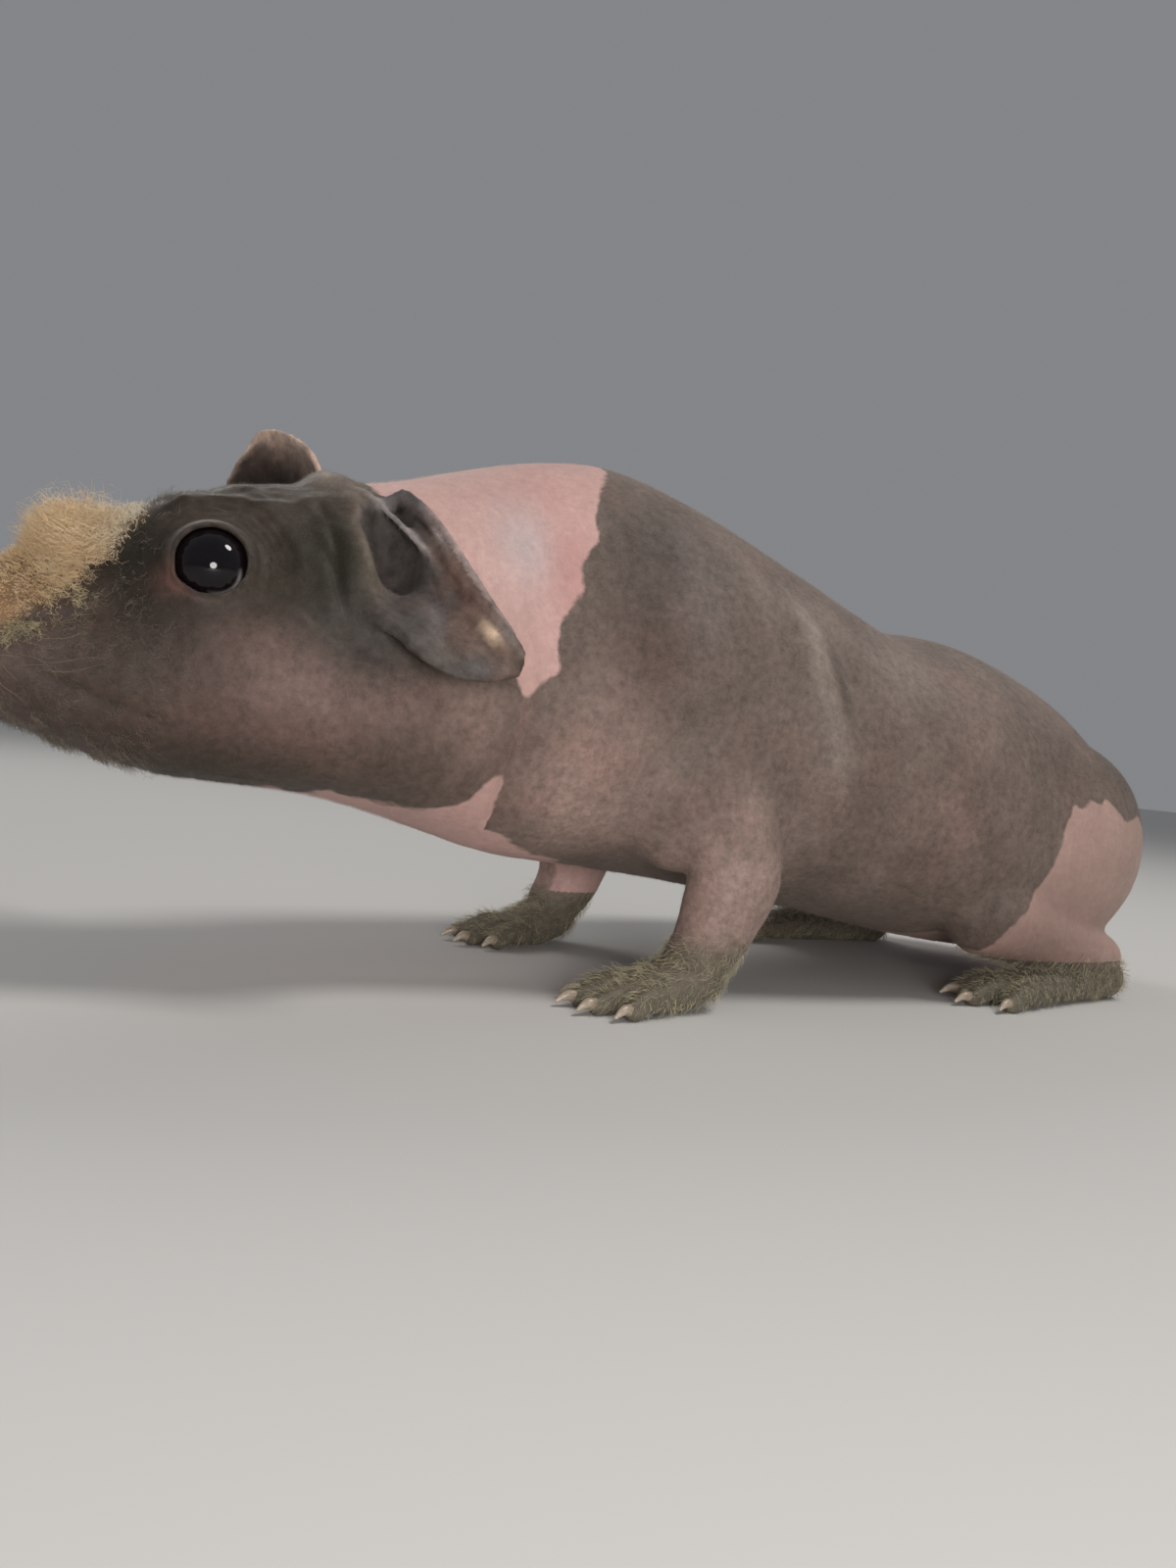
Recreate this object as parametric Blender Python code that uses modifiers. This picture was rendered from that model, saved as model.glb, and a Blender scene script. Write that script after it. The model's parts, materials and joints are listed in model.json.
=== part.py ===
"""A life-size skinny pig, a nearly hairless guinea pig, as a still museum model.

The animal faces -Y and stands on the floor at z = 0, with its left side towards +X. Its head, neck and torso
are one lofted form, parted by thin plane cuts. The legs are fused from tapered limbs and sunk into the torso.
"""

import math
import random

import bmesh
import bpy
import numpy as np
from mathutils import Matrix, Vector
from mathutils.bvhtree import BVHTree

MM = 0.001
GAP = 0.3 * MM  # between two nodes that touch
# The sections below count from a point between the shoulders. The origin is under the middle of the animal.
ORIGIN_SHIFT = Vector((0.0, 5.55, 0.0)) * MM

# Sections of the body from the nose to the tail end, in millimetres, with the living animal's proportions:
# place along the body, back line, underline, half width, height of the widest line, and the roundness above
# and below that line.
SECTIONS = [
    (-134.0, 50.0, 50.0, 0.0, 50.0, 2.2, 2.2),  # nose tip
    (-133.0, 54.2, 45.0, 5.4, 50.0, 2.3, 2.3),  # nose pad
    (-130.0, 56.8, 42.0, 9.0, 48.5, 2.3, 2.4),  # nostrils
    (-124.0, 60.0, 39.8, 11.8, 47.0, 2.2, 2.4),  # mouth
    (-115.0, 64.8, 36.0, 14.2, 46.5, 2.0, 2.3),  # bridge of the nose
    (-106.0, 70.6, 33.2, 17.2, 47.5, 2.0, 2.2),  # in front of the eyes
    (-99.0, 74.6, 31.8, 19.6, 49.0, 2.0, 2.2),  # eyes
    (-90.0, 77.4, 31.3, 22.0, 48.0, 2.0, 2.2),  # brow
    (-78.0, 79.8, 30.6, 24.2, 47.0, 2.0, 2.2),  # ears
    (-66.0, 83.0, 28.4, 25.2, 47.0, 2.0, 2.2),  # jowls
    (-54.0, 87.4, 25.0, 25.4, 51.0, 2.0, 2.2),  # nape
    (-42.0, 91.2, 22.0, 27.0, 53.0, 2.0, 2.2),  # collar
    (-28.0, 93.2, 20.6, 29.6, 53.0, 2.0, 2.2),  # withers
    (-10.0, 89.6, 19.0, 32.6, 51.0, 2.0, 2.2),  # shoulders
    (10.0, 82.6, 16.4, 36.0, 46.0, 2.1, 2.3),  # ribs
    (34.0, 74.4, 12.8, 39.4, 40.0, 2.2, 2.4),  # belly
    (58.0, 73.2, 8.6, 40.6, 36.0, 2.2, 2.5),  # loin
    (80.0, 67.4, 6.4, 38.0, 33.0, 2.2, 2.5),  # hips
    (99.0, 58.4, 6.4, 32.4, 31.0, 2.2, 2.4),  # rump
    (112.0, 52.0, 9.0, 24.6, 30.0, 2.2, 2.3),  # seat
    (119.6, 44.0, 15.6, 14.6, 30.0, 2.1, 2.2),  # tail end
    (123.0, 30.0, 30.0, 0.0, 30.0, 2.1, 2.1),  # last point
]
SECTION_SIDES = 30
# Where the plane cuts part the head from the neck and the neck from the torso: a point and the way back
HEAD_PLANE = (Vector((0.0, -56.5, 55.0)) * MM, Vector((0.0, 1.0, 0.16)).normalized())
NECK_PLANE = (Vector((0.0, -37.0, 55.0)) * MM, Vector((0.0, 1.0, 0.04)).normalized())
HEAD_RING_STEP = 3.2  # millimetres between two rings of the loft
BODY_RING_STEP = 10.0
HEAD_ENDS_AT = -58.0

# Soft masses raised on the loft, or hollows where the rise is negative: centre, reach and rise, millimetres.
# Each is given for the left side and repeated on the right.
MASSES = [
    ((22.0, -84.0, 44.0), (13.0, 14.0, 12.0), 1.5),  # chewing muscle
    ((23.0, -64.0, 38.0), (13.0, 10.0, 11.0), 1.8),  # jowl
    ((12.0, -99.0, 72.0), (6.0, 8.0, 5.0), 1.0),  # brow
    ((14.0, -111.0, 58.0), (7.0, 6.0, 7.0), -0.8),  # hollow before the eye
    ((7.5, -127.5, 46.0), (6.0, 6.0, 4.5), 1.2),  # whisker pad
    ((0.0, -121.0, 36.5), (6.0, 5.0, 5.0), 0.5),  # chin
    ((26.0, -47.0, 58.0), (12.0, 6.0, 22.0), -1.4),  # fold between head and shoulder
    ((24.0, -22.0, 70.0), (12.0, 16.0, 18.0), 1.6),  # shoulder blade
    ((37.0, 18.0, 52.0), (18.0, 8.0, 22.0), -0.9),  # behind the shoulder
    ((20.0, -78.0, 70.5), (4.0, 2.4, 9.0), 1.6),  # ridge in front of the ear
    ((0.0, -127.5, 38.6), (4.5, 4.0, 3.0), 0.8),  # lower lip
    ((14.0, 36.0, 76.0), (18.0, 9.0, 12.0), -1.0),  # dip of the loin
    ((13.0, 90.0, 63.0), (10.0, 12.0, 9.0), 1.0),  # hip bone
]

EYE_CENTRE = Vector((15.0, -97.6, 62.3)) * MM  # left eye
EYE_RADIUS = 5.7 * MM
EYE_AXIS = Vector((0.94, -0.28, 0.18)).normalized()  # where the left eye looks
LID_THICK = 1.1 * MM
LID_OPENING = (5.4 * MM, 5.0 * MM)  # half length and half height of the opening between the lids

# The left nostril: points of its line, each with a half width and a half height, in millimetres
NOSTRIL = [
    ((2.0, -133.6, 50.2), (0.5, 0.6)),
    ((3.4, -133.2, 51.6), (0.85, 0.75)),
    ((4.8, -131.6, 51.8), (0.5, 0.4)),
]
# The mouth from the middle to its left corner, and the cleft above it, in millimetres
HALF_LIPS = [
    (0.0, -131.0, 43.6),
    (2.6, -130.4, 42.8),
    (5.0, -128.4, 41.4),
    (6.8, -125.2, 39.9),
    (7.6, -122.0, 38.9),
]
CLEFT = [(0.0, -134.0, 49.0), (0.0, -133.0, 46.0), (0.0, -131.0, 43.4)]
LIP_GROOVE = 0.6 * MM
CLEFT_GROOVE = 0.45 * MM

EAR_THICK = 1.3 * MM
EAR_ROWS = 9
EAR_COLUMNS = 7
# Each ear is a cupped flap between two edges that run from its root to its tip. The left ear hangs back along
# the neck, and the right one is lifted and turned forward. Cup is the depth at the root, all in millimetres.
EARS = {
    "ear_left": {
        "upper": [
            (10.5, -72.5, 76.5),
            (14.5, -70.5, 79.5),
            (18.8, -66.6, 76.1),
            (27.0, -61.9, 66.3),
            (33.6, -55.4, 55.6),
        ],
        "lower": [
            (20.0, -76.0, 60.5),
            (28.5, -74.5, 56.5),
            (32.5, -70.5, 51.8),
            (35.2, -64.0, 50.2),
            (35.4, -57.0, 51.4),
        ],
        "cup": 6.5,
        "faces": (0.55, -0.8, 0.2),
    },
    "ear_right": {
        "upper": [
            (-9.0, -74.0, 77.0),
            (-16.0, -74.0, 88.0),
            (-25.0, -76.0, 93.0),
            (-33.5, -79.0, 94.0),
            (-38.0, -82.0, 88.5),
        ],
        "lower": [
            (-18.5, -76.0, 60.0),
            (-26.0, -78.0, 65.5),
            (-32.5, -81.0, 72.0),
            (-37.0, -83.5, 79.5),
            (-38.8, -83.0, 85.0),
        ],
        "cup": 6.5,
        "faces": (0.3, -0.95, -0.1),
    },
}
# The hollow of each ear, behind the ridge in front of it: centre on the left side and reach
EAR_HOLLOW = ((17.8, -72.0, 69.5), (5.5, 4.2, 8.5))

LIMB_SIDES = 10
TOE_SIDES = 6
CLAW_SIDES = 5
# The left legs, in millimetres. A limb and its sole run through points, each with the half width and half
# height there and the share of the paw's step that it follows. The mass at the top of the limb is an
# ellipsoid: centre, reach, slant and rings.
LEGS = {
    "front": {
        "mass": ((20.0, -14.0, 42.0), (12.5, 15.0, 20.0), 0.0, 10),
        "limb": [
            ((23.5, -12.0, 36.0), (9.0, 11.0), 0.0),
            ((28.0, -7.5, 25.0), (7.6, 9.4), 0.4),
            ((29.4, -11.0, 15.0), (6.2, 7.4), 1.0),
            ((29.4, -15.0, 7.6), (5.4, 5.6), 1.0),
        ],
        "sole": [
            ((29.4, -15.0, 6.0), (5.4, 5.2), 1.0),
            ((29.0, -20.0, 3.85), (6.2, 4.6), 1.0),
            ((28.6, -25.0, 2.9), (6.4, 3.4), 1.0),
        ],
        "sole_rings": 2,
        "toe_root": (28.6, -26.0, 2.3),
        "toe_lengths": (7.0, 9.6, 9.4, 6.8),
        "toe_fan": 17.0,  # degrees to each side
        "toe_pitch": 3.5,
        "cut": ((0.0, -13.0, 9.0), (0.0, -0.6, -1.0)),
        "claw": 4.2,
    },
    "hind": {
        "mass": ((27.2, 76.0, 31.5), (15.0, 29.0, 23.5), 0.12, 11),
        "limb": [
            ((31.0, 56.0, 19.0), (9.0, 10.0), 0.0),
            ((33.0, 76.0, 13.0), (7.4, 7.4), 0.5),
            ((32.5, 92.0, 8.6), (5.4, 5.6), 1.0),
        ],
        "sole": [
            ((32.0, 95.0, 4.2), (5.2, 4.9), 1.0),
            ((33.75, 79.0, 3.6), (5.2, 4.2), 1.0),
            ((35.5, 63.0, 3.0), (6.2, 3.4), 1.0),
        ],
        "sole_rings": 3,
        "toe_root": (35.5, 61.5, 2.3),
        "toe_lengths": (9.0, 11.5, 9.2),
        "toe_fan": 13.0,
        "toe_pitch": 4.2,
        "cut": ((0.0, 90.0, 9.2), (0.0, 0.12, -1.0)),
        "claw": 4.8,
    },
}
# How far each paw is set back from its mirror place, in millimetres
STEPS = {("front", 1.0): 0.0, ("front", -1.0): 6.0, ("hind", 1.0): 0.0, ("hind", -1.0): -5.0}
TOE_RADII = ((2.3, 2.4), (1.9, 2.0), (1.7, 1.7))  # half width and height at the root, middle and end
TOE_LINE = ((0.0, 0.4), (0.45, 0.9), (1.0, -0.9))  # share of the toe's length, and height above its root
CLAW_RADII = ((1.0, 1.1), (0.8, 0.85), (0.3, 0.3))
CLAW_LINE = ((0.1, 0.3), (0.55, 0.55), (1.0, -0.35))
TOE_SET_BACK = 1.2  # millimetres that the outer toes start behind the middle ones
AXIS_X = (1.0, 0.0, 0.0)

TUFT_SEED = 7
TUFT_ROWS = 9
TUFT_COLUMNS = 8
TUFT_FRONT = -127.0  # millimetres along the body
TUFT_BACK = -106.5
TUFT_SPREAD = (62.0, 36.0)  # degrees to each side, at the front and at the back
TUFT_SUNK = 1.4 * MM
TUFT_CENTRE_HEIGHT = 46.0  # millimetres, inside the muzzle, from where the roots are found
CREST_AT = 0.68  # share of the tuft's length where its locks are longest
CREST_REACH = 0.42
CREST_RISE = 5.4
LOCK_LENGTH = 3.4  # millimetres
LOCK_WIDTH = (2.7, 3.5)
LOCK_SHARES = (0.0, 0.36, 0.72, 1.0)
LOCK_TAPER = (0.85, 1.0, 0.72)  # width at each place before the tip


def clear_scene():
    for obj in list(bpy.data.objects):
        bpy.data.objects.remove(obj)


def material(name, colour, roughness):
    made = bpy.data.materials.new(name)
    made.use_nodes = True
    shader = made.node_tree.nodes["Principled BSDF"]
    shader.inputs["Base Color"].default_value = (*colour, 1.0)
    shader.inputs["Roughness"].default_value = roughness
    shader.inputs["Metallic"].default_value = 0.0
    return made


def place(name, mesh, collection):
    obj = bpy.data.objects.new(name, mesh)
    collection.objects.link(obj)
    return obj


def dress(obj, finish):
    """Gives the object its one material and smooth shading between its creases."""
    obj.data.materials.clear()
    obj.data.materials.append(finish)
    obj.location = ORIGIN_SHIFT
    obj.data.shade_smooth()
    obj.data.set_sharp_from_angle(angle=math.radians(42.0))
    return obj


def mesh_from_bmesh(name, form):
    mesh = bpy.data.meshes.new(name)
    bmesh.ops.recalc_face_normals(form, faces=form.faces)
    form.to_mesh(mesh)
    form.free()
    return mesh


# Splines and lofts


def smooth_rows(rows, at):
    """Rows of numbers read off a smooth curve through them, at places counted in rows."""
    rows = np.asarray(rows, float)
    steps = np.maximum(np.linalg.norm(np.diff(rows[:, :4], axis=0), axis=1), 1e-9) ** 0.5
    slopes = np.diff(rows, axis=0) / steps[:, None]
    before, after = steps[:-1, None], steps[1:, None]
    inner = (slopes[:-1] * after + slopes[1:] * before) / (before + after)
    tangents = np.vstack([slopes[:1], inner, slopes[-1:]])
    at = np.clip(at, 0.0, len(rows) - 1.0)
    first = np.minimum(at.astype(int), len(rows) - 2)
    u = (at - first)[:, None]
    width = steps[first][:, None]
    value = (2 * u**3 - 3 * u**2 + 1) * rows[first] + (3 * u**2 - 2 * u**3) * rows[first + 1]
    value += (u**3 - 2 * u**2 + u) * width * tangents[first] + (u**3 - u**2) * width * tangents[first + 1]
    return value


def with_mirrored_ends(sections):
    """The sections with one more past each tip, so that the form closes there in a round end."""
    after, before = sections[1], sections[-2]
    ends = [(s[0], s[2], s[1], -s[3], s[4], s[5], s[6]) for s in (after, before)]
    return [ends[0], *sections, ends[1]]


def body_rings(head_step, body_step):
    """Sections along the body, close together on the head and wider apart behind it, in metres."""
    rows = with_mirrored_ends(SECTIONS)
    places = np.linspace(1.0, len(rows) - 2.0, 4000)
    fine = smooth_rows(rows, places)
    moved = np.diff(fine[:, :4], axis=0)
    length = np.linalg.norm(moved, axis=1)
    middle = 0.5 * (fine[1:, 0] + fine[:-1, 0])
    blend = np.clip((middle - HEAD_ENDS_AT) / 30.0, 0.0, 1.0)
    cost = length / (head_step + (body_step - head_step) * blend)
    run = np.concatenate([[0.0], np.cumsum(cost)])
    count = max(8, round(run[-1]))
    wanted = np.interp(np.linspace(0.0, run[-1], count + 1), run, places)
    found = smooth_rows(rows, wanted)
    found[:, :5] *= MM
    return found[1:-1]


def section_outline(row, sides):
    """The points of one section, as two half superellipses that meet at the widest line."""
    y, top, bottom, half, widest, upper, lower = row
    points = []
    for k in range(sides):
        angle = 2.0 * math.pi * k / sides
        across, up = math.sin(angle), math.cos(angle)
        power = 2.0 / (upper if up >= 0.0 else lower)
        reach = top - widest if up >= 0.0 else widest - bottom
        x = half * math.copysign(abs(across) ** power, across)
        z = widest + reach * math.copysign(abs(up) ** power, up)
        points.append((x, y, z))
    return points


def mass_rise(points):
    """How far each point is raised by the soft masses."""
    rise = np.zeros(len(points))
    for centre, reach, height in MASSES:
        for side in (1.0, -1.0):
            if side < 0.0 and centre[0] == 0.0:
                continue
            away = (points - np.array([side * centre[0], centre[1], centre[2]]) * MM) / (np.array(reach) * MM)
            rise += height * MM * np.exp(-(away**2).sum(1))
    return rise


def body_mesh(head_step=HEAD_RING_STEP, body_step=BODY_RING_STEP, sides=SECTION_SIDES, grow=0.0):
    """Head, neck and torso as one closed surface, swollen by grow."""
    rings = body_rings(head_step, body_step)
    form = bmesh.new()
    loops = [[form.verts.new(p) for p in section_outline(row, sides)] for row in rings]
    nose = form.verts.new(Vector((0.0, SECTIONS[0][0], SECTIONS[0][1])) * MM)
    tail = form.verts.new(Vector((0.0, SECTIONS[-1][0], SECTIONS[-1][1])) * MM)
    for near, far in zip(loops, loops[1:]):
        for k in range(sides):
            form.faces.new((near[k], near[(k + 1) % sides], far[(k + 1) % sides], far[k]))
    for k in range(sides):
        form.faces.new((nose, loops[0][(k + 1) % sides], loops[0][k]))
        form.faces.new((tail, loops[-1][k], loops[-1][(k + 1) % sides]))
    bmesh.ops.recalc_face_normals(form, faces=form.faces)
    form.normal_update()
    points = np.array([v.co for v in form.verts])
    rise = mass_rise(points) + grow
    normals = [v.normal.copy() for v in form.verts]
    for vert, normal, amount in zip(form.verts, normals, rise):
        vert.co += normal * float(amount)
    return mesh_from_bmesh("body_form", form)


def tube_mesh(points, radii, sides, side_axis, grow=0.0, rings_between=3, cap_rings=(45.0,)):
    """A limb along points, with a half width and a half height at each, round at both ends."""
    rows = [(*p, *r) for p, r in zip(points, radii)]
    places = np.linspace(0.0, len(rows) - 1.0, (len(rows) - 1) * rings_between + 1)
    line = smooth_rows(rows, places)
    centres = [Vector(c) for c in line[:, :3]]
    wide, high = line[:, 3] + grow, line[:, 4] + grow
    form = bmesh.new()
    loops = []

    def ring(centre, along, across_radius, up_radius):
        across = (Vector(side_axis) - along * along.dot(Vector(side_axis))).normalized()
        up = along.cross(across)
        loop = []
        for k in range(sides):
            angle = 2.0 * math.pi * k / sides
            offset = across * math.cos(angle) * across_radius + up * math.sin(angle) * up_radius
            loop.append(form.verts.new(centre + offset))
        loops.append(loop)

    padded = [centres[0], *centres, centres[-1]]
    along = [(after - before).normalized() for before, after in zip(padded, padded[2:])]
    start, end = along[0], along[-1]
    start_cap, end_cap = min(wide[0], high[0]), min(wide[-1], high[-1])
    for angle in reversed(cap_rings):
        lean = math.radians(angle)
        inward = centres[0] - start * start_cap * math.sin(lean)
        ring(inward, start, wide[0] * math.cos(lean), high[0] * math.cos(lean))
    for centre, direction, w, h in zip(centres, along, wide, high):
        ring(centre, direction, w, h)
    for angle in cap_rings:
        lean = math.radians(angle)
        outward = centres[-1] + end * end_cap * math.sin(lean)
        ring(outward, end, wide[-1] * math.cos(lean), high[-1] * math.cos(lean))
    for near, far in zip(loops, loops[1:]):
        for k in range(sides):
            form.faces.new((near[k], near[(k + 1) % sides], far[(k + 1) % sides], far[k]))
    first = form.verts.new(centres[0] - start * start_cap)
    last = form.verts.new(centres[-1] + end * end_cap)
    for k in range(sides):
        form.faces.new((first, loops[0][(k + 1) % sides], loops[0][k]))
        form.faces.new((last, loops[-1][k], loops[-1][(k + 1) % sides]))
    return mesh_from_bmesh("limb_form", form)


def ellipsoid_mesh(centre, radii, turn=None, grow=0.0, segments=20, rings=12):
    form = bmesh.new()
    bmesh.ops.create_uvsphere(form, u_segments=segments, v_segments=rings, radius=1.0)
    size = Matrix.Diagonal([r + grow for r in radii]).to_4x4()
    spin = turn.to_matrix().to_4x4() if turn else Matrix.Identity(4)
    bmesh.ops.transform(form, matrix=Matrix.Translation(centre) @ spin @ size, verts=form.verts)
    return mesh_from_bmesh("round_form", form)


# Joining and cutting


def evaluated(obj):
    graph = bpy.context.evaluated_depsgraph_get()
    return bpy.data.meshes.new_from_object(obj.evaluated_get(graph))


def keep_largest(mesh):
    """Leaves the largest closed surface of the mesh and drops any scrap."""
    form = bmesh.new()
    form.from_mesh(mesh)
    bmesh.ops.remove_doubles(form, verts=form.verts, dist=0.002 * MM)
    left = set(form.faces)
    pieces = []
    while left:
        stack = [left.pop()]
        piece = set(stack)
        while stack:
            for edge in stack.pop().edges:
                for face in edge.link_faces:
                    if face in left:
                        left.discard(face)
                        piece.add(face)
                        stack.append(face)
        pieces.append(piece)
    pieces.sort(key=lambda p: sum(f.calc_area() for f in p))
    spare = [f for p in pieces[:-1] for f in p]
    bmesh.ops.delete(form, geom=spare, context="FACES")
    bmesh.ops.delete(form, geom=[v for v in form.verts if not v.link_faces], context="VERTS")
    bmesh.ops.triangulate(form, faces=form.faces)
    form.to_mesh(mesh)
    form.free()
    return mesh


def fused(name, meshes, collection, solver="MANIFOLD"):
    """One closed body made of the meshes by one Boolean union."""
    pieces = bpy.data.collections.new(name + "_pieces")
    bpy.context.scene.collection.children.link(pieces)
    base = place(name, meshes[0], collection)
    for k, mesh in enumerate(meshes[1:]):
        place(f"{name}_piece_{k}", mesh, pieces)
    join = base.modifiers.new("join", "BOOLEAN")
    join.operation = "UNION"
    join.operand_type = "COLLECTION"
    join.collection = pieces
    join.solver = solver
    joined = evaluated(base)
    base.modifiers.clear()
    base.data = keep_largest(joined)
    for piece in list(pieces.objects):
        bpy.data.objects.remove(piece)
    bpy.data.collections.remove(pieces)
    return base


def carve(obj, cutters, solver="MANIFOLD"):
    """Cuts each closed mesh in cutters out of obj."""
    for mesh in cutters:
        cutter = place("cutter", mesh, bpy.context.scene.collection)
        cut = obj.modifiers.new("cut", "BOOLEAN")
        cut.operation = "DIFFERENCE"
        cut.object = cutter
        cut.solver = solver
        result = evaluated(obj)
        obj.modifiers.clear()
        obj.data = result
        bpy.data.objects.remove(cutter)
    obj.data = keep_largest(obj.data)
    return obj


def slice_mesh(mesh, point, towards):
    """A copy of the mesh without what lies on the towards side of the plane, closed flat there."""
    form = bmesh.new()
    form.from_mesh(mesh)
    everything = [*form.verts, *form.edges, *form.faces]
    bmesh.ops.bisect_plane(
        form, geom=everything, dist=0.001 * MM, plane_co=point, plane_no=towards, clear_outer=True
    )
    rim = [e for e in form.edges if e.is_boundary]
    bmesh.ops.holes_fill(form, edges=rim, sides=0)
    bmesh.ops.triangulate(form, faces=form.faces, ngon_method="EAR_CLIP")
    return keep_largest(mesh_from_bmesh(mesh.name, form))


# Head, neck and torso


def mirrored(vector, side):
    return Vector((vector.x * side, vector.y, vector.z))


def eye_turn(side):
    """The rotation that takes +Z to where the eye looks, with +X kept level."""
    axis = mirrored(EYE_AXIS, side)
    level = Vector((0.0, 0.0, 1.0)).cross(axis).normalized()
    return Matrix((level, axis.cross(level), axis)).transposed()


def eye_ball(side, grow=0.0):
    turn = eye_turn(side).to_quaternion()
    return ellipsoid_mesh(mirrored(EYE_CENTRE, side), (EYE_RADIUS,) * 3, turn, grow, segments=18, rings=11)


def lid_dome(side):
    """A dome over the eye, whose outer rim runs out into the cheek and brow."""
    centre = mirrored(EYE_CENTRE, side)
    radius = EYE_RADIUS + LID_THICK
    return ellipsoid_mesh(centre, (radius,) * 3, eye_turn(side).to_quaternion(), segments=22, rings=14)


def lid_opening(side):
    """The oval between the lids, as a cutter that reaches from inside the eye to outside the dome."""
    form = bmesh.new()
    depth = EYE_RADIUS * 2.2
    bmesh.ops.create_cone(
        form, cap_ends=True, segments=22, radius1=0.86, radius2=1.22, depth=depth,
        matrix=Matrix.Translation((0.0, 0.0, 0.5 * depth)),
    )
    size = Matrix.Diagonal((LID_OPENING[0], LID_OPENING[1], 1.0)).to_4x4()
    tilt = Matrix.Rotation(math.radians(-16.0) * side, 4, "Z")
    turn = eye_turn(side).to_4x4()
    bmesh.ops.transform(
        form, matrix=Matrix.Translation(mirrored(EYE_CENTRE, side)) @ turn @ tilt @ size, verts=form.verts
    )
    return mesh_from_bmesh("lid_opening", form)


def ear_hollow(side):
    """The hollow that leads to the ear's canal."""
    centre, reach = EAR_HOLLOW
    lean = Vector((0.0, 0.0, 1.0)).rotation_difference(Vector((-0.45 * side, -0.16, 1.0)))
    middle = mirrored(Vector(centre), side) * MM
    return ellipsoid_mesh(middle, [r * MM for r in reach], lean, segments=14, rings=9)


def nostril(side):
    """A slanting comma of a hole in the nose pad."""
    points = [mirrored(Vector(p), side) * MM for p, _ in NOSTRIL]
    radii = [(wide * MM, high * MM) for _, (wide, high) in NOSTRIL]
    return tube_mesh(points, radii, 8, (0.0, 0.0, 1.0), rings_between=2)


def mouth_line(skin):
    """The cleft under the nose and the line between the lips, as thin grooves on the skin."""
    lips = [(-x, y, z) for x, y, z in reversed(HALF_LIPS[1:])] + HALF_LIPS
    made = []
    for points, width in ((lips, LIP_GROOVE), (CLEFT, CLEFT_GROOVE)):
        line = [skin.find_nearest(Vector(p) * MM)[0] for p in points]
        made.append(tube_mesh(line, [(width, width)] * len(line), 8, (0.3, 0.2, 1.0), rings_between=2))
    return made


def tuft_locks(skin):
    """The crest of curly hair on the nose's bridge, as tapered locks in rows that overlap up the muzzle."""
    draw = random.Random(TUFT_SEED)
    locks = []
    for row in range(TUFT_ROWS):
        along = row / (TUFT_ROWS - 1)
        y = TUFT_FRONT + (TUFT_BACK - TUFT_FRONT) * along
        spread = TUFT_SPREAD[0] + (TUFT_SPREAD[1] - TUFT_SPREAD[0]) * along
        count = TUFT_COLUMNS - row % 2
        for k in range(count):
            share = (k + 0.5) / count * 2.0 - 1.0
            angle = math.radians(spread * share + draw.uniform(-4.0, 4.0))
            centre = Vector((0.0, y + draw.uniform(-0.9, 0.9), TUFT_CENTRE_HEIGHT)) * MM
            out = Vector((math.sin(angle), -0.15 * (1.0 - along), math.cos(angle))).normalized()
            root, normal, _, _ = skin.ray_cast(centre, out)
            crest = math.exp(-(((along - CREST_AT) / CREST_REACH) ** 2)) * (1.0 - 0.55 * share * share)
            length = (LOCK_LENGTH + CREST_RISE * crest) * draw.uniform(0.85, 1.1)
            back = 0.3 + 0.5 * along + draw.uniform(-0.5, 0.4)
            lean = Vector((0.5 * share + draw.uniform(-0.6, 0.6), back, 0.3)).normalized()
            curl = draw.uniform(-0.8, 0.8)
            locks.append(lock_mesh(root, normal, lean, curl, length, draw.uniform(*LOCK_WIDTH)))
    return locks


def lock_mesh(root, normal, lean, curl, length, width):
    """A lock that leaves the skin, bends over towards lean, curls aside and ends in a point."""
    side = normal.cross(lean).normalized()
    line = []
    for share in LOCK_SHARES:
        direction = normal * (1.0 - 0.45 * share) + lean * 0.75 * share + side * curl * share * share
        line.append(root + direction.normalized() * length * MM * share)
    line[0] = root - normal * TUFT_SUNK
    form = bmesh.new()
    loops = []
    for point, size, after in zip(line, LOCK_TAPER, line[1:]):
        along = (after - point).normalized()
        across = (side - along * side.dot(along)).normalized()
        up = along.cross(across)
        half = 0.5 * width * MM * size
        corners = ((half, -half * 0.3), (0.0, half * 0.6), (-half, -half * 0.3))
        loops.append([form.verts.new(point + across * a + up * b) for a, b in corners])
    tip = form.verts.new(line[-1])
    form.faces.new(loops[0])
    for near, far in zip(loops, loops[1:]):
        for k in range(3):
            form.faces.new((near[k], near[(k + 1) % 3], far[(k + 1) % 3], far[k]))
    for k in range(3):
        form.faces.new((loops[-1][k], loops[-1][(k + 1) % 3], tip))
    bmesh.ops.triangulate(form, faces=form.faces)
    return mesh_from_bmesh("lock_form", form)


def make_head(body, skin, collection):
    head = slice_mesh(body, HEAD_PLANE[0] - HEAD_PLANE[1] * 0.5 * GAP, HEAD_PLANE[1])
    pieces = [head, lid_dome(1.0), lid_dome(-1.0), *tuft_locks(skin)]
    obj = fused("head", pieces, collection)
    cutters = [lid_opening(1.0), lid_opening(-1.0), eye_ball(1.0, GAP), eye_ball(-1.0, GAP)]
    cutters += [ear_hollow(1.0), ear_hollow(-1.0), nostril(1.0), nostril(-1.0), *mouth_line(skin)]
    return carve(obj, cutters)


def make_neck(body, collection):
    front = slice_mesh(body, NECK_PLANE[0] - NECK_PLANE[1] * 0.5 * GAP, NECK_PLANE[1])
    both = slice_mesh(front, HEAD_PLANE[0] + HEAD_PLANE[1] * 0.5 * GAP, -HEAD_PLANE[1])
    return place("neck", both, collection)


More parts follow.
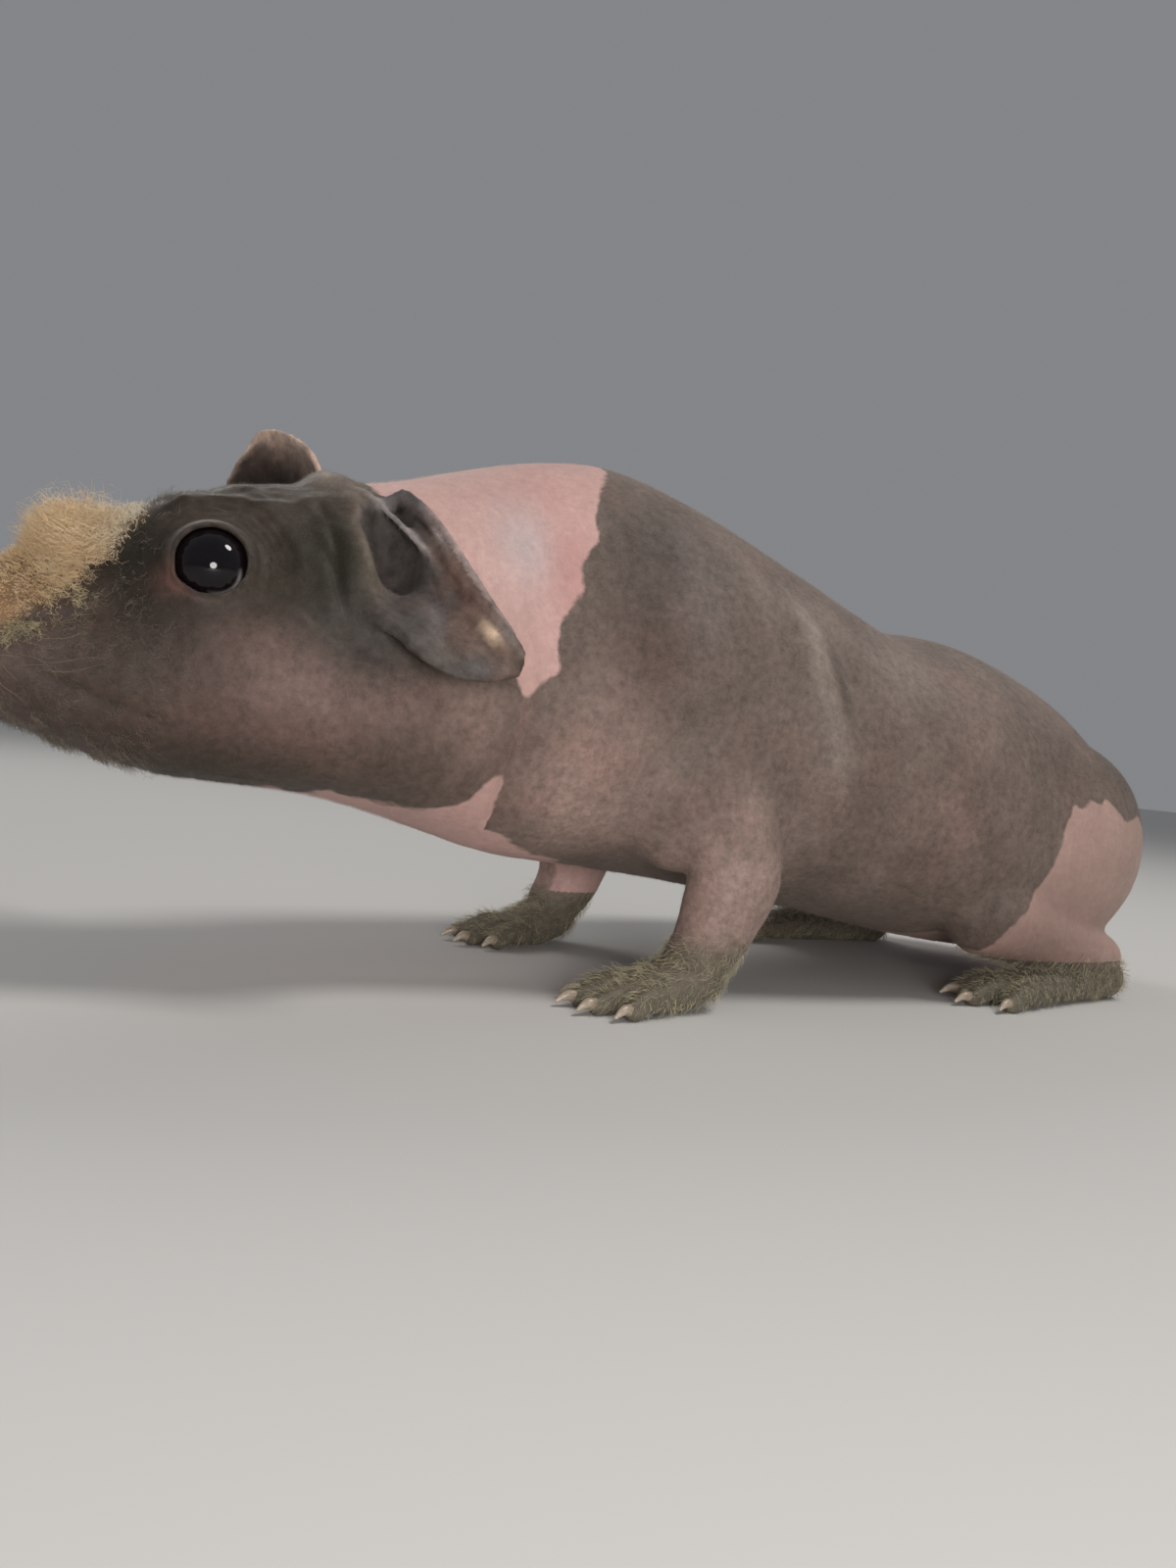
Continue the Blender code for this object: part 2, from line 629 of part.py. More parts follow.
def make_torso(body, cutters, collection):
    rear = slice_mesh(body, NECK_PLANE[0] + NECK_PLANE[1] * 0.5 * GAP, -NECK_PLANE[1])
    return carve(place("torso", rear, collection), cutters)


# Ears


def ear_surface(shape):
    """The ear's middle surface as rows of points, from root to tip and from the lower to the upper edge."""
    places = np.linspace(0.0, 4.0, EAR_ROWS + 1)
    upper = smooth_rows([(*p, 0.0) for p in shape["upper"]], places)[:, :3] * MM
    lower = smooth_rows([(*p, 0.0) for p in shape["lower"]], places)[:, :3] * MM
    out = Vector(shape["faces"]).normalized()
    rows = []
    for i in range(EAR_ROWS + 1):
        u = i / EAR_ROWS
        depth = shape["cup"] * MM * (1.0 - u)
        row = []
        for j in range(EAR_COLUMNS + 1):
            v = j / EAR_COLUMNS
            flat = Vector(lower[i]).lerp(Vector(upper[i]), v)
            row.append(flat - out * depth * (1.0 - (2.0 * v - 1.0) ** 2))
        rows.append(row)
    return rows


def make_ear(name, head_form, collection):
    """The cupped flap with an even thickness, cut clear of the head that it grows from."""
    form = bmesh.new()
    grid = [[form.verts.new(p) for p in row] for row in ear_surface(EARS[name])]
    for near, far in zip(grid, grid[1:]):
        for j in range(EAR_COLUMNS):
            form.faces.new((near[j], near[j + 1], far[j + 1], far[j]))
    sheet = place(name, mesh_from_bmesh(name, form), collection)
    thick = sheet.modifiers.new("thickness", "SOLIDIFY")
    thick.thickness = EAR_THICK
    thick.offset = 0.0
    thick.use_even_offset = True
    solid = evaluated(sheet)
    sheet.modifiers.clear()
    sheet.data = keep_largest(solid)
    return carve(sheet, [head_form.copy()])


# Legs and feet


def leg_line(kind, part, side, step):
    """Points and radii along a limb or a sole, in metres."""
    rows = LEGS[kind][part]
    points = [Vector((side * x, y + follow * step, z)) * MM for (x, y, z), _, follow in rows]
    radii = [(wide * MM, high * MM) for _, (wide, high), _ in rows]
    return points, radii


def upper_leg(kind, side, step, grow=0.0):
    """Shoulder and arm, or haunch and shank, sunk into the torso. step moves the paw along the body."""
    centre, reach, slant, rings = LEGS[kind]["mass"]
    lean = Vector((0.0, 1.0, 0.0)).rotation_difference(Vector((0.0, 1.0, slant)))
    middle = mirrored(Vector(centre), side) * MM
    mass = ellipsoid_mesh(middle, [r * MM for r in reach], lean, grow, segments=16, rings=rings)
    limb = tube_mesh(*leg_line(kind, "limb", side, step), LIMB_SIDES, AXIS_X, grow, rings_between=2)
    return [mass, limb]


def sole_form(kind, side, step):
    """The palm or the long sole, flat on the floor."""
    line = leg_line(kind, "sole", side, step)
    return tube_mesh(*line, LIMB_SIDES, AXIS_X, rings_between=LEGS[kind]["sole_rings"])


def toe_lines(kind, side, step):
    """Toes fanned out in front of the sole, as pairs of a line of points and the radii along it."""
    leg = LEGS[kind]
    x, y, z = leg["toe_root"]
    base = Vector((side * x, y + step, z)) * MM
    reach = 0.5 * (len(leg["toe_lengths"]) - 1)
    radii = [(wide * MM, high * MM) for wide, high in TOE_RADII]
    made = []
    for k, length in enumerate(leg["toe_lengths"]):
        share = (k - reach) / reach
        heading = math.radians(leg["toe_fan"]) * share * side
        forward = Vector((math.sin(heading), -math.cos(heading), 0.0))
        start = base + Vector((side * leg["toe_pitch"] * share * reach, TOE_SET_BACK * abs(share), 0.0)) * MM
        points = []
        for along, rise in TOE_LINE:
            points.append(start + (forward * along * length + Vector((0.0, 0.0, rise))) * MM)
        made.append((points, radii))
    return made


def toe_meshes(lines, grow=0.0):
    return [tube_mesh(points, radii, TOE_SIDES, AXIS_X, grow, rings_between=1) for points, radii in lines]


def make_claw(name, line, reach, collection):
    """A short curved claw that grows from the end of a toe and stops clear of it."""
    points, _ = line
    ahead = points[-1] - points[-2]
    ahead.z = 0.0
    ahead.normalize()
    path = []
    for along, rise in CLAW_LINE:
        path.append(points[-1] + (ahead * along * reach + Vector((0.0, 0.0, rise))) * MM)
    sizes = [(wide * MM, high * MM) for wide, high in CLAW_RADII]
    form = tube_mesh(path, sizes, CLAW_SIDES, AXIS_X, rings_between=1, cap_rings=())
    return carve(place(name, form, collection), toe_meshes([line], GAP))


def make_leg(kind, side, step, collection):
    """A whole limb as one body, then parted at the wrist or ankle into a leg and a foot, with claws apart."""
    label = f"{kind}_{'left' if side > 0.0 else 'right'}"
    lines = toe_lines(kind, side, step)
    pieces = [*upper_leg(kind, side, step), sole_form(kind, side, step), *toe_meshes(lines)]
    whole = fused(f"limb_{label}", pieces, collection)
    standing = slice_mesh(whole.data, Vector((0.0, 0.0, 0.0)), Vector((0.0, 0.0, -1.0)))
    bpy.data.objects.remove(whole)
    (x, y, z), down = LEGS[kind]["cut"]
    point = Vector((x, y + step, z)) * MM
    away = Vector(down).normalized()
    leg = place(f"leg_{label}", slice_mesh(standing, point - away * 0.5 * GAP, away), collection)
    foot = place(f"foot_{label}", slice_mesh(standing, point + away * 0.5 * GAP, -away), collection)
    claws = []
    for k, line in enumerate(lines):
        claws.append(make_claw(f"claw_{label}_{k + 1}", line, LEGS[kind]["claw"], collection))
    return leg, foot, claws


def torso_cutters():
    """The legs' upper masses, swollen by the gap, which leave their seats in the torso."""
    cutters = []
    for (kind, side), step in STEPS.items():
        cutters += upper_leg(kind, side, step, GAP)
    return cutters


def main():
    clear_scene()
    animal = bpy.data.collections.new("skinny_pig")
    bpy.context.scene.collection.children.link(animal)
    slate = material("slate_skin", (0.105, 0.085, 0.075), 0.62)
    taupe = material("taupe_skin", (0.20, 0.155, 0.13), 0.60)
    pink = material("pink_skin", (0.56, 0.33, 0.27), 0.55)
    horn = material("claw_horn", (0.30, 0.21, 0.15), 0.40)
    iris = material("dark_eye", (0.006, 0.003, 0.004), 0.05)

    body = body_mesh()
    fine = body_mesh(1.2, 3.0, 80)
    form = bmesh.new()
    form.from_mesh(fine)
    skin = BVHTree.FromBMesh(form)
    form.free()

    dress(make_head(body, skin, animal), slate)
    dress(make_neck(body, animal), pink)
    dress(make_torso(body, torso_cutters(), animal), taupe)
    for side, label in ((1.0, "left"), (-1.0, "right")):
        dress(place(f"eye_{label}", eye_ball(side), animal), iris)
    grown = body_mesh(grow=GAP)
    for name in EARS:
        dress(make_ear(name, grown, animal), slate)
    for (kind, side), step in STEPS.items():
        leg, foot, claws = make_leg(kind, side, step, animal)
        dress(leg, taupe)
        dress(foot, taupe)
        for claw in claws:
            dress(claw, horn)


main()
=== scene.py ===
import json
import math

import bmesh
import bpy
import numpy as np
from mathutils import Matrix, Vector
from mathutils.bvhtree import BVHTree
from mathutils.kdtree import KDTree

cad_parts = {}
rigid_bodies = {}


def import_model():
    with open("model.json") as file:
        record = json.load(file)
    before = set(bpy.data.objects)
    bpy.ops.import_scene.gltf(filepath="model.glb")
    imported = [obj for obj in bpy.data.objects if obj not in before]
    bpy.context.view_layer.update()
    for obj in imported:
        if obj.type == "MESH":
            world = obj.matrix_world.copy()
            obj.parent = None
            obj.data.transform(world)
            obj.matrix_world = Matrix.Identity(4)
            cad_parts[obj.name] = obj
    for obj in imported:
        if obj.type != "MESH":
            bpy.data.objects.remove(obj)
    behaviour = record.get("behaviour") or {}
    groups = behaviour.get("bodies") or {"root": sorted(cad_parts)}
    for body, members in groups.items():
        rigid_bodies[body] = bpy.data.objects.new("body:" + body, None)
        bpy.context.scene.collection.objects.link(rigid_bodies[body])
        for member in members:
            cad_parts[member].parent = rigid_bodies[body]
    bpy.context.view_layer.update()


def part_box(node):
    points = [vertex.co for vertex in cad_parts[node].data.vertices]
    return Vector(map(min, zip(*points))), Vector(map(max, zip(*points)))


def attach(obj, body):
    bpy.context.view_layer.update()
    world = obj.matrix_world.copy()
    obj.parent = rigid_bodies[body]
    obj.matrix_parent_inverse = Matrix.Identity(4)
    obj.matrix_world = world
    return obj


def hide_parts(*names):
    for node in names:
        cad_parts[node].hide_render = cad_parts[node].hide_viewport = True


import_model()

# The skinny pig's skin, coat, eyes and claws. The animal faces -Y, with its left side towards +X. Lengths are
# in millimetres, counted from the sections' own origin, and meshes are set to metres at the end. Places are
# given for the left side, and an angle round an eye's gaze is counted from the rear.
MM = 0.001
SHIFT = np.array([0.0, 5.55, 0.0])  # from the sections' origin to the frame's
LEFT = 1.0
RIGHT = -1.0
SIDES = {LEFT: "left", RIGHT: "right"}
TINY = 1e-9

# Sections of the body from nose to tail: place, back line, underline, half width, height of the widest line,
# roundness above and below it
SECTIONS = [
    (-134, 50, 50, 0, 50, 2.2, 2.2),
    (-133, 54.2, 45, 5.4, 50, 2.3, 2.3),
    (-130, 56.8, 42, 9, 48.5, 2.3, 2.4),
    (-124, 60, 39.8, 11.8, 47, 2.2, 2.4),
    (-115, 64.8, 36, 14.2, 46.5, 2, 2.3),
    (-106, 70.6, 33.2, 17.2, 47.5, 2, 2.2),
    (-99, 74.6, 31.8, 19.6, 49, 2, 2.2),
    (-90, 77.4, 31.3, 22, 48, 2, 2.2),
    (-78, 79.8, 30.6, 24.2, 47, 2, 2.2),
    (-66, 83, 28.4, 25.2, 47, 2, 2.2),
    (-54, 87.4, 25, 25.4, 51, 2, 2.2),
    (-42, 91.2, 22, 27, 53, 2, 2.2),
    (-28, 93.2, 20.6, 29.6, 53, 2, 2.2),
    (-10, 89.6, 19, 32.6, 51, 2, 2.2),
    (10, 82.6, 16.4, 36, 46, 2.1, 2.3),
    (34, 74.4, 12.8, 39.4, 40, 2.2, 2.4),
    (58, 73.2, 8.6, 40.6, 36, 2.2, 2.5),
    (80, 67.4, 6.4, 38, 33, 2.2, 2.5),
    (99, 58.4, 6.4, 32.4, 31, 2.2, 2.4),
    (112, 52, 9, 24.6, 30, 2.2, 2.3),
    (119.6, 44, 15.6, 14.6, 30, 2.1, 2.2),
    (123, 30, 30, 0, 30, 2.1, 2.1),
]
SECTION_SIDES = 128
RING_STEP = 1.5

# Soft masses raised on the body, or hollows: centre, reach and rise
MASSES = [
    ((22, -84, 44), (13, 14, 12), 1.5),
    ((23, -64, 38), (13, 10, 11), 1.8),
    ((12, -99, 72), (6, 8, 5), 1),
    ((14, -111, 58), (7, 6, 7), -0.8),
    ((7.5, -127.5, 46), (6, 6, 4.5), 1.2),
    ((0, -121, 36.5), (6, 5, 5), 0.5),
    ((26, -47, 58), (12, 6, 22), -1.4),
    ((24, -22, 70), (12, 16, 18), 1.6),
    ((37, 18, 52), (18, 8, 22), -0.9),
    ((20, -78, 70.5), (4, 2.4, 9), 1.6),
    ((0, -127.5, 38.6), (4.5, 4, 3), 0.8),
    ((14, 36, 76), (18, 9, 12), -1),
    ((13, 90, 63), (10, 12, 9), 1),
]

# Eyes. The opening between the lids is given by half its width and height and the reach of its inner corner.
# The pale arc is at the edge of the iris, below and behind, and its middle is as seen from the eye's centre.
EYE_CENTRE = (15, -97.6, 62.3)
EYE_RADIUS = 5.7
EYE_AXIS = (0.94, -0.28, 0.18)
EYE_GAP = 0.12  # between eye and skin
SOCKET_GAP = 0.25
ARC_AXIS = (0.98, -0.082, -0.181)
ARC_ANGLE = math.radians(32.5)
ARC_THICK = math.radians(3.0)
LID_THICK = 1.1
LID_OPENING = (5.1, 5.15)
LID_TILT = math.radians(-16.0)
LID_CUT = (0.84, 0.36)  # size of the cut at its inner end, and how much it widens outwards
LID_MARGIN = 0.34  # radius of the rounded margin of the lids
LID_MARGIN_AT = 6.2  # its distance from the eye's centre
CANTHUS_AT = math.radians(229.0)
CANTHUS_WIDTH = math.radians(14.0)
CANTHUS_REACH = 0.08
EYE_BULGE = 0.035  # of the front, as a share of the radius
BULGE_ANGLE = 0.62
# Where a highlight is painted on the lids' margin, and how widely
LID_HIGHLIGHT_PLACES = ((math.radians(140.0), 0.85), (math.radians(285.0), 0.5))

# Nose and mouth
NOSTRIL = [
    ((2, -133.6, 50.2), (0.5, 0.6)), ((3.4, -133.2, 51.6), (0.85, 0.75)), ((4.8, -131.6, 51.8), (0.5, 0.4)),
]
HALF_LIPS = [(0, -131, 43.6), (2.6, -130.4, 42.8), (5, -128.4, 41.4), (6.8, -125.2, 39.9), (7.6, -122, 38.9)]
CLEFT = [(0, -134, 49), (0, -133, 46), (0, -131, 43.4)]
LIP_GROOVE = 0.55
CLEFT_GROOVE = 0.42
NOSE_END = -133.5  # no long hair in front of it

# Ears: edges from root to tip, depth of the cup at the root, the way that the cup faces
EAR_THICK = 1.25
EAR_RIM = 0.75  # share of that thickness at the edges
RIM_WIDTH = 0.07  # of the pale line along the upper edge (a painted highlight on the left ear, paler hair on the right), as a share of the flap's width
EAR_SKIN_REACH = 2.0  # how near the flap's middle the skin counts as the ear's
EAR_ROWS = 54
EAR_COLUMNS = 40
EARS = {
    LEFT: {
        "upper": [
            (10.5, -72.5, 76.5), (14.5, -70.5, 79.5), (18.8, -66.6, 76.1), (27, -61.9, 66.3),
            (33.6, -55.4, 55.6),
        ],
        "lower": [
            (20, -76, 60.5), (28.5, -74.5, 56.5), (32.5, -70.5, 51.8), (35.2, -64, 50.2), (35.4, -57, 51.4),
        ],
        "cup": 6.5,
        "faces": (0.55, -0.8, 0.2),
    },
    RIGHT: {
        "upper": [(-9, -74, 77), (-16, -74, 88), (-25, -76, 93), (-33.5, -79, 94), (-38, -82, 88.5)],
        "lower": [(-18.5, -76, 60), (-26, -78, 65.5), (-32.5, -81, 72), (-37, -83.5, 79.5), (-38.8, -83, 85)],
        "cup": 6.5,
        "faces": (0.3, -0.95, -0.1),
    },
}
EAR_CURL = {LEFT: (0.5, 0.05), RIGHT: (1.1, 0.08)}  # rise and width of the roll along the upper edge
# The left ear's hollow. The right ear is a plain cup.
EAR_HOLLOW = ((17.8, -72, 69.5), (5.5, 4.2, 8.5))
HOLLOW_TURN = Vector((0.0, 0.0, 1.0)).rotation_difference(Vector((-0.45, -0.16, 1.0)))
# The pale fold that crosses the left ear's hollow, and the two slits above it
EAR_FOLD = [
    (8.6, -74.6, 78.6), (11.6, -73.2, 77.2), (14.6, -71.7, 75), (17.4, -70.1, 72.7), (20.2, -68.4, 69.9),
    (22.6, -66.6, 66.8),
]
EAR_FOLD_RADII = [0.5, 0.6, 0.58, 0.55, 0.48, 0.25]
EAR_SLITS = [((13.6, -70.8, 76.8), (16.8, -69.1, 74.6), 0.75), ((18, -68, 74), (20.6, -66.8, 71.9), 0.7)]
# Flesh that joins the left ear's lower edge to the cheek, and the corners of that ear which are rounded off
EAR_WEB = [(20, -76, 61.5), (24, -75.9, 58.6), (27.8, -74.6, 56.6), (31, -72, 53.6)]
EAR_WEB_RADII = [1.8, 1.9, 1.35, 0.7]
EAR_CORNERS = [(14.5, -70.5, 79), (33.6, -55.6, 55.4), (35.2, -57, 51.8)]

# Legs. Limb and sole: points, half width and half height, share of the paw's step.
LEGS = {
    "front": {
        "mass": ((20, -14, 42), (12.5, 15, 20), 0),
        "limb": [
            ((23.5, -12, 36), (9, 11), 0), ((28, -7.5, 25), (7.6, 9.4), 0.4),
            ((29.4, -11, 15), (6.2, 7.4), 1), ((29.4, -15, 7.6), (5.4, 5.6), 1),
        ],
        "sole": [
            ((29.4, -15, 6), (5.4, 5.2), 1), ((29, -20, 3.85), (6.2, 4.6), 1),
            ((28.6, -25, 2.9), (6.4, 3.4), 1),
        ],
        "toe_root": (28.6, -26, 2.3),
        "toe_lengths": (7, 9.6, 9.4, 6.8),
        "toe_fan": 17,
        "toe_pitch": 3.5,
        "claw": 4.2,
    },
    "hind": {
        "mass": ((27.2, 76, 31.5), (15, 29, 23.5), 0.12),
        "limb": [
            ((31, 56, 19), (9, 10), 0), ((33, 76, 13), (7.4, 7.4), 0.5), ((32.5, 92, 8.6), (5.4, 5.6), 1),
        ],
        "sole": [
            ((32, 95, 4.2), (5.2, 4.9), 1), ((33.75, 79, 3.6), (5.2, 4.2), 1), ((35.5, 63, 3), (6.2, 3.4), 1),
        ],
        "toe_root": (35.5, 61.5, 2.3),
        "toe_lengths": (9, 11.5, 9.2),
        "toe_fan": 13,
        "toe_pitch": 4.2,
        "claw": 4.8,
    },
}
STEPS = {("front", LEFT): 0, ("front", RIGHT): 6, ("hind", LEFT): 0, ("hind", RIGHT): -5}
TOE_RADII = ((2.3, 2.4), (1.9, 2), (1.7, 1.7))
TOE_LINE = ((0, 0.4), (0.45, 0.9), (1, -0.9))
TOE_SET_BACK = 1.2
CLAW_RADII = ((1, 1.1), (0.8, 0.85), (0.3, 0.3))
CLAW_LINE = ((0.1, 0.3), (0.55, 0.55), (1, -0.35))
AXIS_X = (1.0, 0.0, 0.0)
CAP_ANGLES = (22, 45, 68)

# Skin: size of its cells, rounds of smoothing, and how the joins of limbs, lids and ears are run in
VOXEL = 0.52
SKIN_SMOOTHING = 3
JOIN_SMOOTHING = 90
JOIN_REACH = 7.0
JOIN_SEARCH = 9.0
LIMBS_FROM = -40.0
LIMB_HEIGHTS = (3.0, 66.0)
EYE_ZONE_SOFT = 0.8
HOLLOW_SOFT = 0.85
WEB_SOFT = 0.45
CORNER_SOFT = 0.3
FLOOR_SKIN = 0.02  # lowest height of the skin

# Named colours, as linear red, green and blue
TAUPE = (0.146, 0.111, 0.093)
# painted sheen: paler grey where the light falls on the upper back
BACK_SHEEN = (0.195, 0.155, 0.132)
SLATE = (0.024, 0.017, 0.011)
OLIVE_SLATE = (0.020, 0.018, 0.010)
ROSE_TAUPE = (0.235, 0.155, 0.130)
CHEEK_ROSE = (0.190, 0.120, 0.103)
FOREARM_ROSE = (0.355, 0.248, 0.212)
# painted highlight along raised folds
FOLD_BAND_HIGHLIGHT = (0.225, 0.180, 0.152)
DARK_FLANK = (0.066, 0.049, 0.041)
COLLAR_PINK = (0.540, 0.345, 0.312)
# painted highlight: the middle of the pink collar painted whiter
COLLAR_HIGHLIGHT = (0.455, 0.370, 0.365)
COLLAR_RED = (0.500, 0.268, 0.248)
HIP_PINK = (0.330, 0.226, 0.190)
BELLY_PINK = (0.420, 0.270, 0.225)
MAUVE_TAUPE = (0.098, 0.063, 0.053)
# painted highlight: a pale lilac-grey spot where the light falls on the upper flank
LILAC_HIGHLIGHT = (0.200, 0.160, 0.150)
LID_GREY = (0.082, 0.067, 0.058)
# painted highlight on the lids' margin
LID_HIGHLIGHT = (0.170, 0.135, 0.122)
LID_PINK = (0.260, 0.130, 0.110)
# dark skin of the ears, also used as painted shade in the left ear's hollow
EAR_DARK_AND_SHADE = (0.056, 0.048, 0.045)
# painted shade in the slits of the left ear
EAR_SLIT_SHADE = (0.008, 0.007, 0.006)
EAR_BROWN = (0.115, 0.078, 0.064)
EAR_WARM = (0.150, 0.090, 0.070)
EAR_GREY = (0.130, 0.117, 0.116)
EAR_PALE = (0.300, 0.265, 0.255)
# painted highlight along the left ear's upper edge
EAR_RIM_HIGHLIGHT = (0.265, 0.205, 0.190)
EAR_YELLOW = (0.470, 0.345, 0.240)
# the right ear's dark skin, darkened further as painted shade inside its cup
EAR_FAR = (0.005, 0.002, 0.001)
EAR_FAR_RIM = (0.560, 0.420, 0.340)
# olive skin; along the left ear's lower edge it also stands for painted shade
OLIVE_GREY = (0.070, 0.063, 0.056)
# painted highlight along raised ridges of the ear
RIDGE_HIGHLIGHT = (0.175, 0.140, 0.108)
BROW_LINE = (0.075, 0.060, 0.047)
BEFORE_EYE = (0.012, 0.010, 0.007)
# painted highlight along a raised fold and the crest between the ears
FOLD_HIGHLIGHT = (0.290, 0.240, 0.205)
FOLD_ROSE = (0.360, 0.215, 0.185)
GOLD = (0.760, 0.500, 0.260)
GOLD_DARK = (0.300, 0.185, 0.095)
GOLD_BRIGHT = (0.920, 0.700, 0.430)
CREAM = (0.950, 0.830, 0.640)
NOSE_BROWN = (0.095, 0.056, 0.046)
FOOT_DARK = (0.115, 0.104, 0.076)
HORN = (0.260, 0.190, 0.140)


# Splines, lofts and other closed forms


def smooth_rows(rows, at):
    """Rows of numbers read off a smooth curve through them, at places counted in rows."""
    rows = np.asarray(rows, float)
    steps = np.maximum(np.linalg.norm(np.diff(rows[:, :4], axis=0), axis=1), TINY) ** 0.5
    slopes = np.diff(rows, axis=0) / steps[:, None]
    before, after = steps[:-1, None], steps[1:, None]
    inner = (slopes[:-1] * after + slopes[1:] * before) / (before + after)
    tangents = np.vstack([slopes[:1], inner, slopes[-1:]])
    at = np.clip(at, 0.0, len(rows) - 1.0)
    first = np.minimum(at.astype(int), len(rows) - 2)
    u = (at - first)[:, None]
    width = steps[first][:, None]
    value = (2 * u**3 - 3 * u**2 + 1) * rows[first] + (3 * u**2 - 2 * u**3) * rows[first + 1]
    value += (u**3 - 2 * u**2 + u) * width * tangents[first] + (u**3 - u**2) * width * tangents[first + 1]
    return value


def curve(rows, steps):
    """A smooth curve through the rows, with even steps from each to the next."""
    return smooth_rows(rows, np.linspace(0.0, len(rows) - 1.0, steps * (len(rows) - 1) + 1))


def mirrored(vector, side):
    return Vector((vector[0] * side, vector[1], vector[2]))


def side_curve(line, side, steps):
    return curve(np.array([mirrored(p, side) for p in line]), steps)


def unit(vectors):
    return vectors / np.maximum(np.linalg.norm(vectors, axis=-1, keepdims=True), TINY)


def angles(count):
    return [2.0 * math.pi * k / count for k in range(count)]


def bump_at(points, centre, reach):
    """One at the centre, fading to nothing past its reach."""
    away = (points - np.asarray(centre, float)) / np.asarray(reach, float)
    return np.exp(-(away**2).sum(1))


def eased(share):
    return share * share * (3.0 - 2.0 * share)


def mesh_of(name, points, faces):
    mesh = bpy.data.meshes.new(name)
    mesh.from_pydata([tuple(p) for p in points], [], [tuple(f) for f in faces])
    form = bmesh.new()
    form.from_mesh(mesh)
    bmesh.ops.recalc_face_normals(form, faces=form.faces)
    form.to_mesh(mesh)
    form.free()
    return mesh


def tree_of(*meshes):
    """A search tree of the meshes' faces."""
    form = bmesh.new()
    for mesh in meshes:
        form.from_mesh(mesh)
    tree = BVHTree.FromBMesh(form)
    form.free()
    return tree


def ring_faces(rings, sides):
    """Quads between rings of points, as rows of point numbers."""
    faces = []
    for base in range(0, (rings - 1) * sides, sides):
        for k in range(sides):
            a, b = base + k, base + (k + 1) % sides
            faces.append((a, b, b + sides, a + sides))
    return faces


def loft(name, loops, first, last):
    """A closed form through loops of equally many points, ending in a point at each end."""
    loops = np.asarray(loops)
    rings, sides = loops.shape[:2]
    faces = ring_faces(rings, sides)
    start, end, base = rings * sides, rings * sides + 1, (rings - 1) * sides
    for k in range(sides):
        faces.append((start, (k + 1) % sides, k))
        faces.append((end, base + k, base + (k + 1) % sides))
    return mesh_of(name, [*loops.reshape(-1, 3), first, last], faces)


def rows_of(items, name):
    rows = np.empty(len(items) * 3, np.float32)
    items.foreach_get(name, rows)
    return rows.reshape(-1, 3).astype(float)


def points_of(mesh):
    return rows_of(mesh.vertices, "co")


def normals_of(mesh):
    return rows_of(mesh.vertex_normals, "vector")


def set_points(mesh, points):
    mesh.vertices.foreach_set("co", np.ascontiguousarray(points, np.float32).ravel())
    mesh.update()


def body_rows():
    """The sections at even steps along the body's outline."""
    ends = [(y, bottom, top, -half, *rest) for y, top, bottom, half, *rest in (SECTIONS[1], SECTIONS[-2])]
    rows = [ends[0], *SECTIONS, ends[1]]
    places = np.linspace(1.0, len(rows) - 2.0, 4000)
    fine = smooth_rows(rows, places)
    run = np.concatenate([[0.0], np.cumsum(np.linalg.norm(np.diff(fine[:, :4], axis=0), axis=1))])
    wanted = np.interp(np.linspace(0.0, run[-1], round(run[-1] / RING_STEP) + 1), run, places)
    return smooth_rows(rows, wanted)[1:-1]


def mass_rise(points):
    rise = np.zeros(len(points))
    for (x, y, z), reach, height in MASSES:
        for side in SIDES:
            if side == LEFT or x != 0:
                rise += height * bump_at(points, (side * x, y, z), reach)
    return rise


def body_form():
    angle = np.array(angles(SECTION_SIDES))
    across, up = np.sin(angle), np.cos(angle)
    y, top, bottom, half, widest, upper, lower = body_rows().T[..., None]
    power = 2.0 / np.where(up >= 0.0, upper, lower)
    reach = np.where(up >= 0.0, top - widest, widest - bottom)
    x = half * np.sign(across) * np.abs(across) ** power
    z = widest + reach * np.sign(up) * np.abs(up) ** power
    loops = np.stack([x, np.broadcast_to(y, x.shape), z], axis=2)
    nose, tail = SECTIONS[0], SECTIONS[-1]
    mesh = loft("body_form", loops, (0.0, nose[0], nose[1]), (0.0, tail[0], tail[1]))
    points = points_of(mesh)
    set_points(mesh, points + normals_of(mesh) * mass_rise(points)[:, None])
    return mesh


def tube_form(points, radii, sides=28, side_axis=AXIS_X, rings_between=8):
    """A limb along points, with a half width and a half height at each, round at both ends."""
    line = curve([(*p, *r) for p, r in zip(points, radii)], rings_between)
    centres, sizes = line[:, :3], line[:, 3:]
    padded = np.vstack([centres[:1], centres, centres[-1:]])
    along = unit(padded[2:] - padded[:-2])
    angle = np.array(angles(sides))[:, None]
    leans = [math.radians(a) for a in CAP_ANGLES]
    rings = [(0, -math.sin(a), math.cos(a)) for a in reversed(leans)]
    rings += [(k, 0.0, 1.0) for k in range(len(centres))]
    rings += [(-1, math.sin(a), math.cos(a)) for a in leans]
    loops = []
    for k, ahead, share in rings:
        across = np.asarray(side_axis, float) - along[k] * along[k].dot(side_axis)
        across /= np.linalg.norm(across)
        up = np.cross(along[k], across)
        half_width, half_height = sizes[k] * share
        circle = np.cos(angle) * across * half_width + np.sin(angle) * up * half_height
        loops.append(centres[k] + along[k] * sizes[k].min() * ahead + circle)
    first = centres[0] - along[0] * sizes[0].min()
    return loft("limb_form", loops, first, centres[-1] + along[-1] * sizes[-1].min())


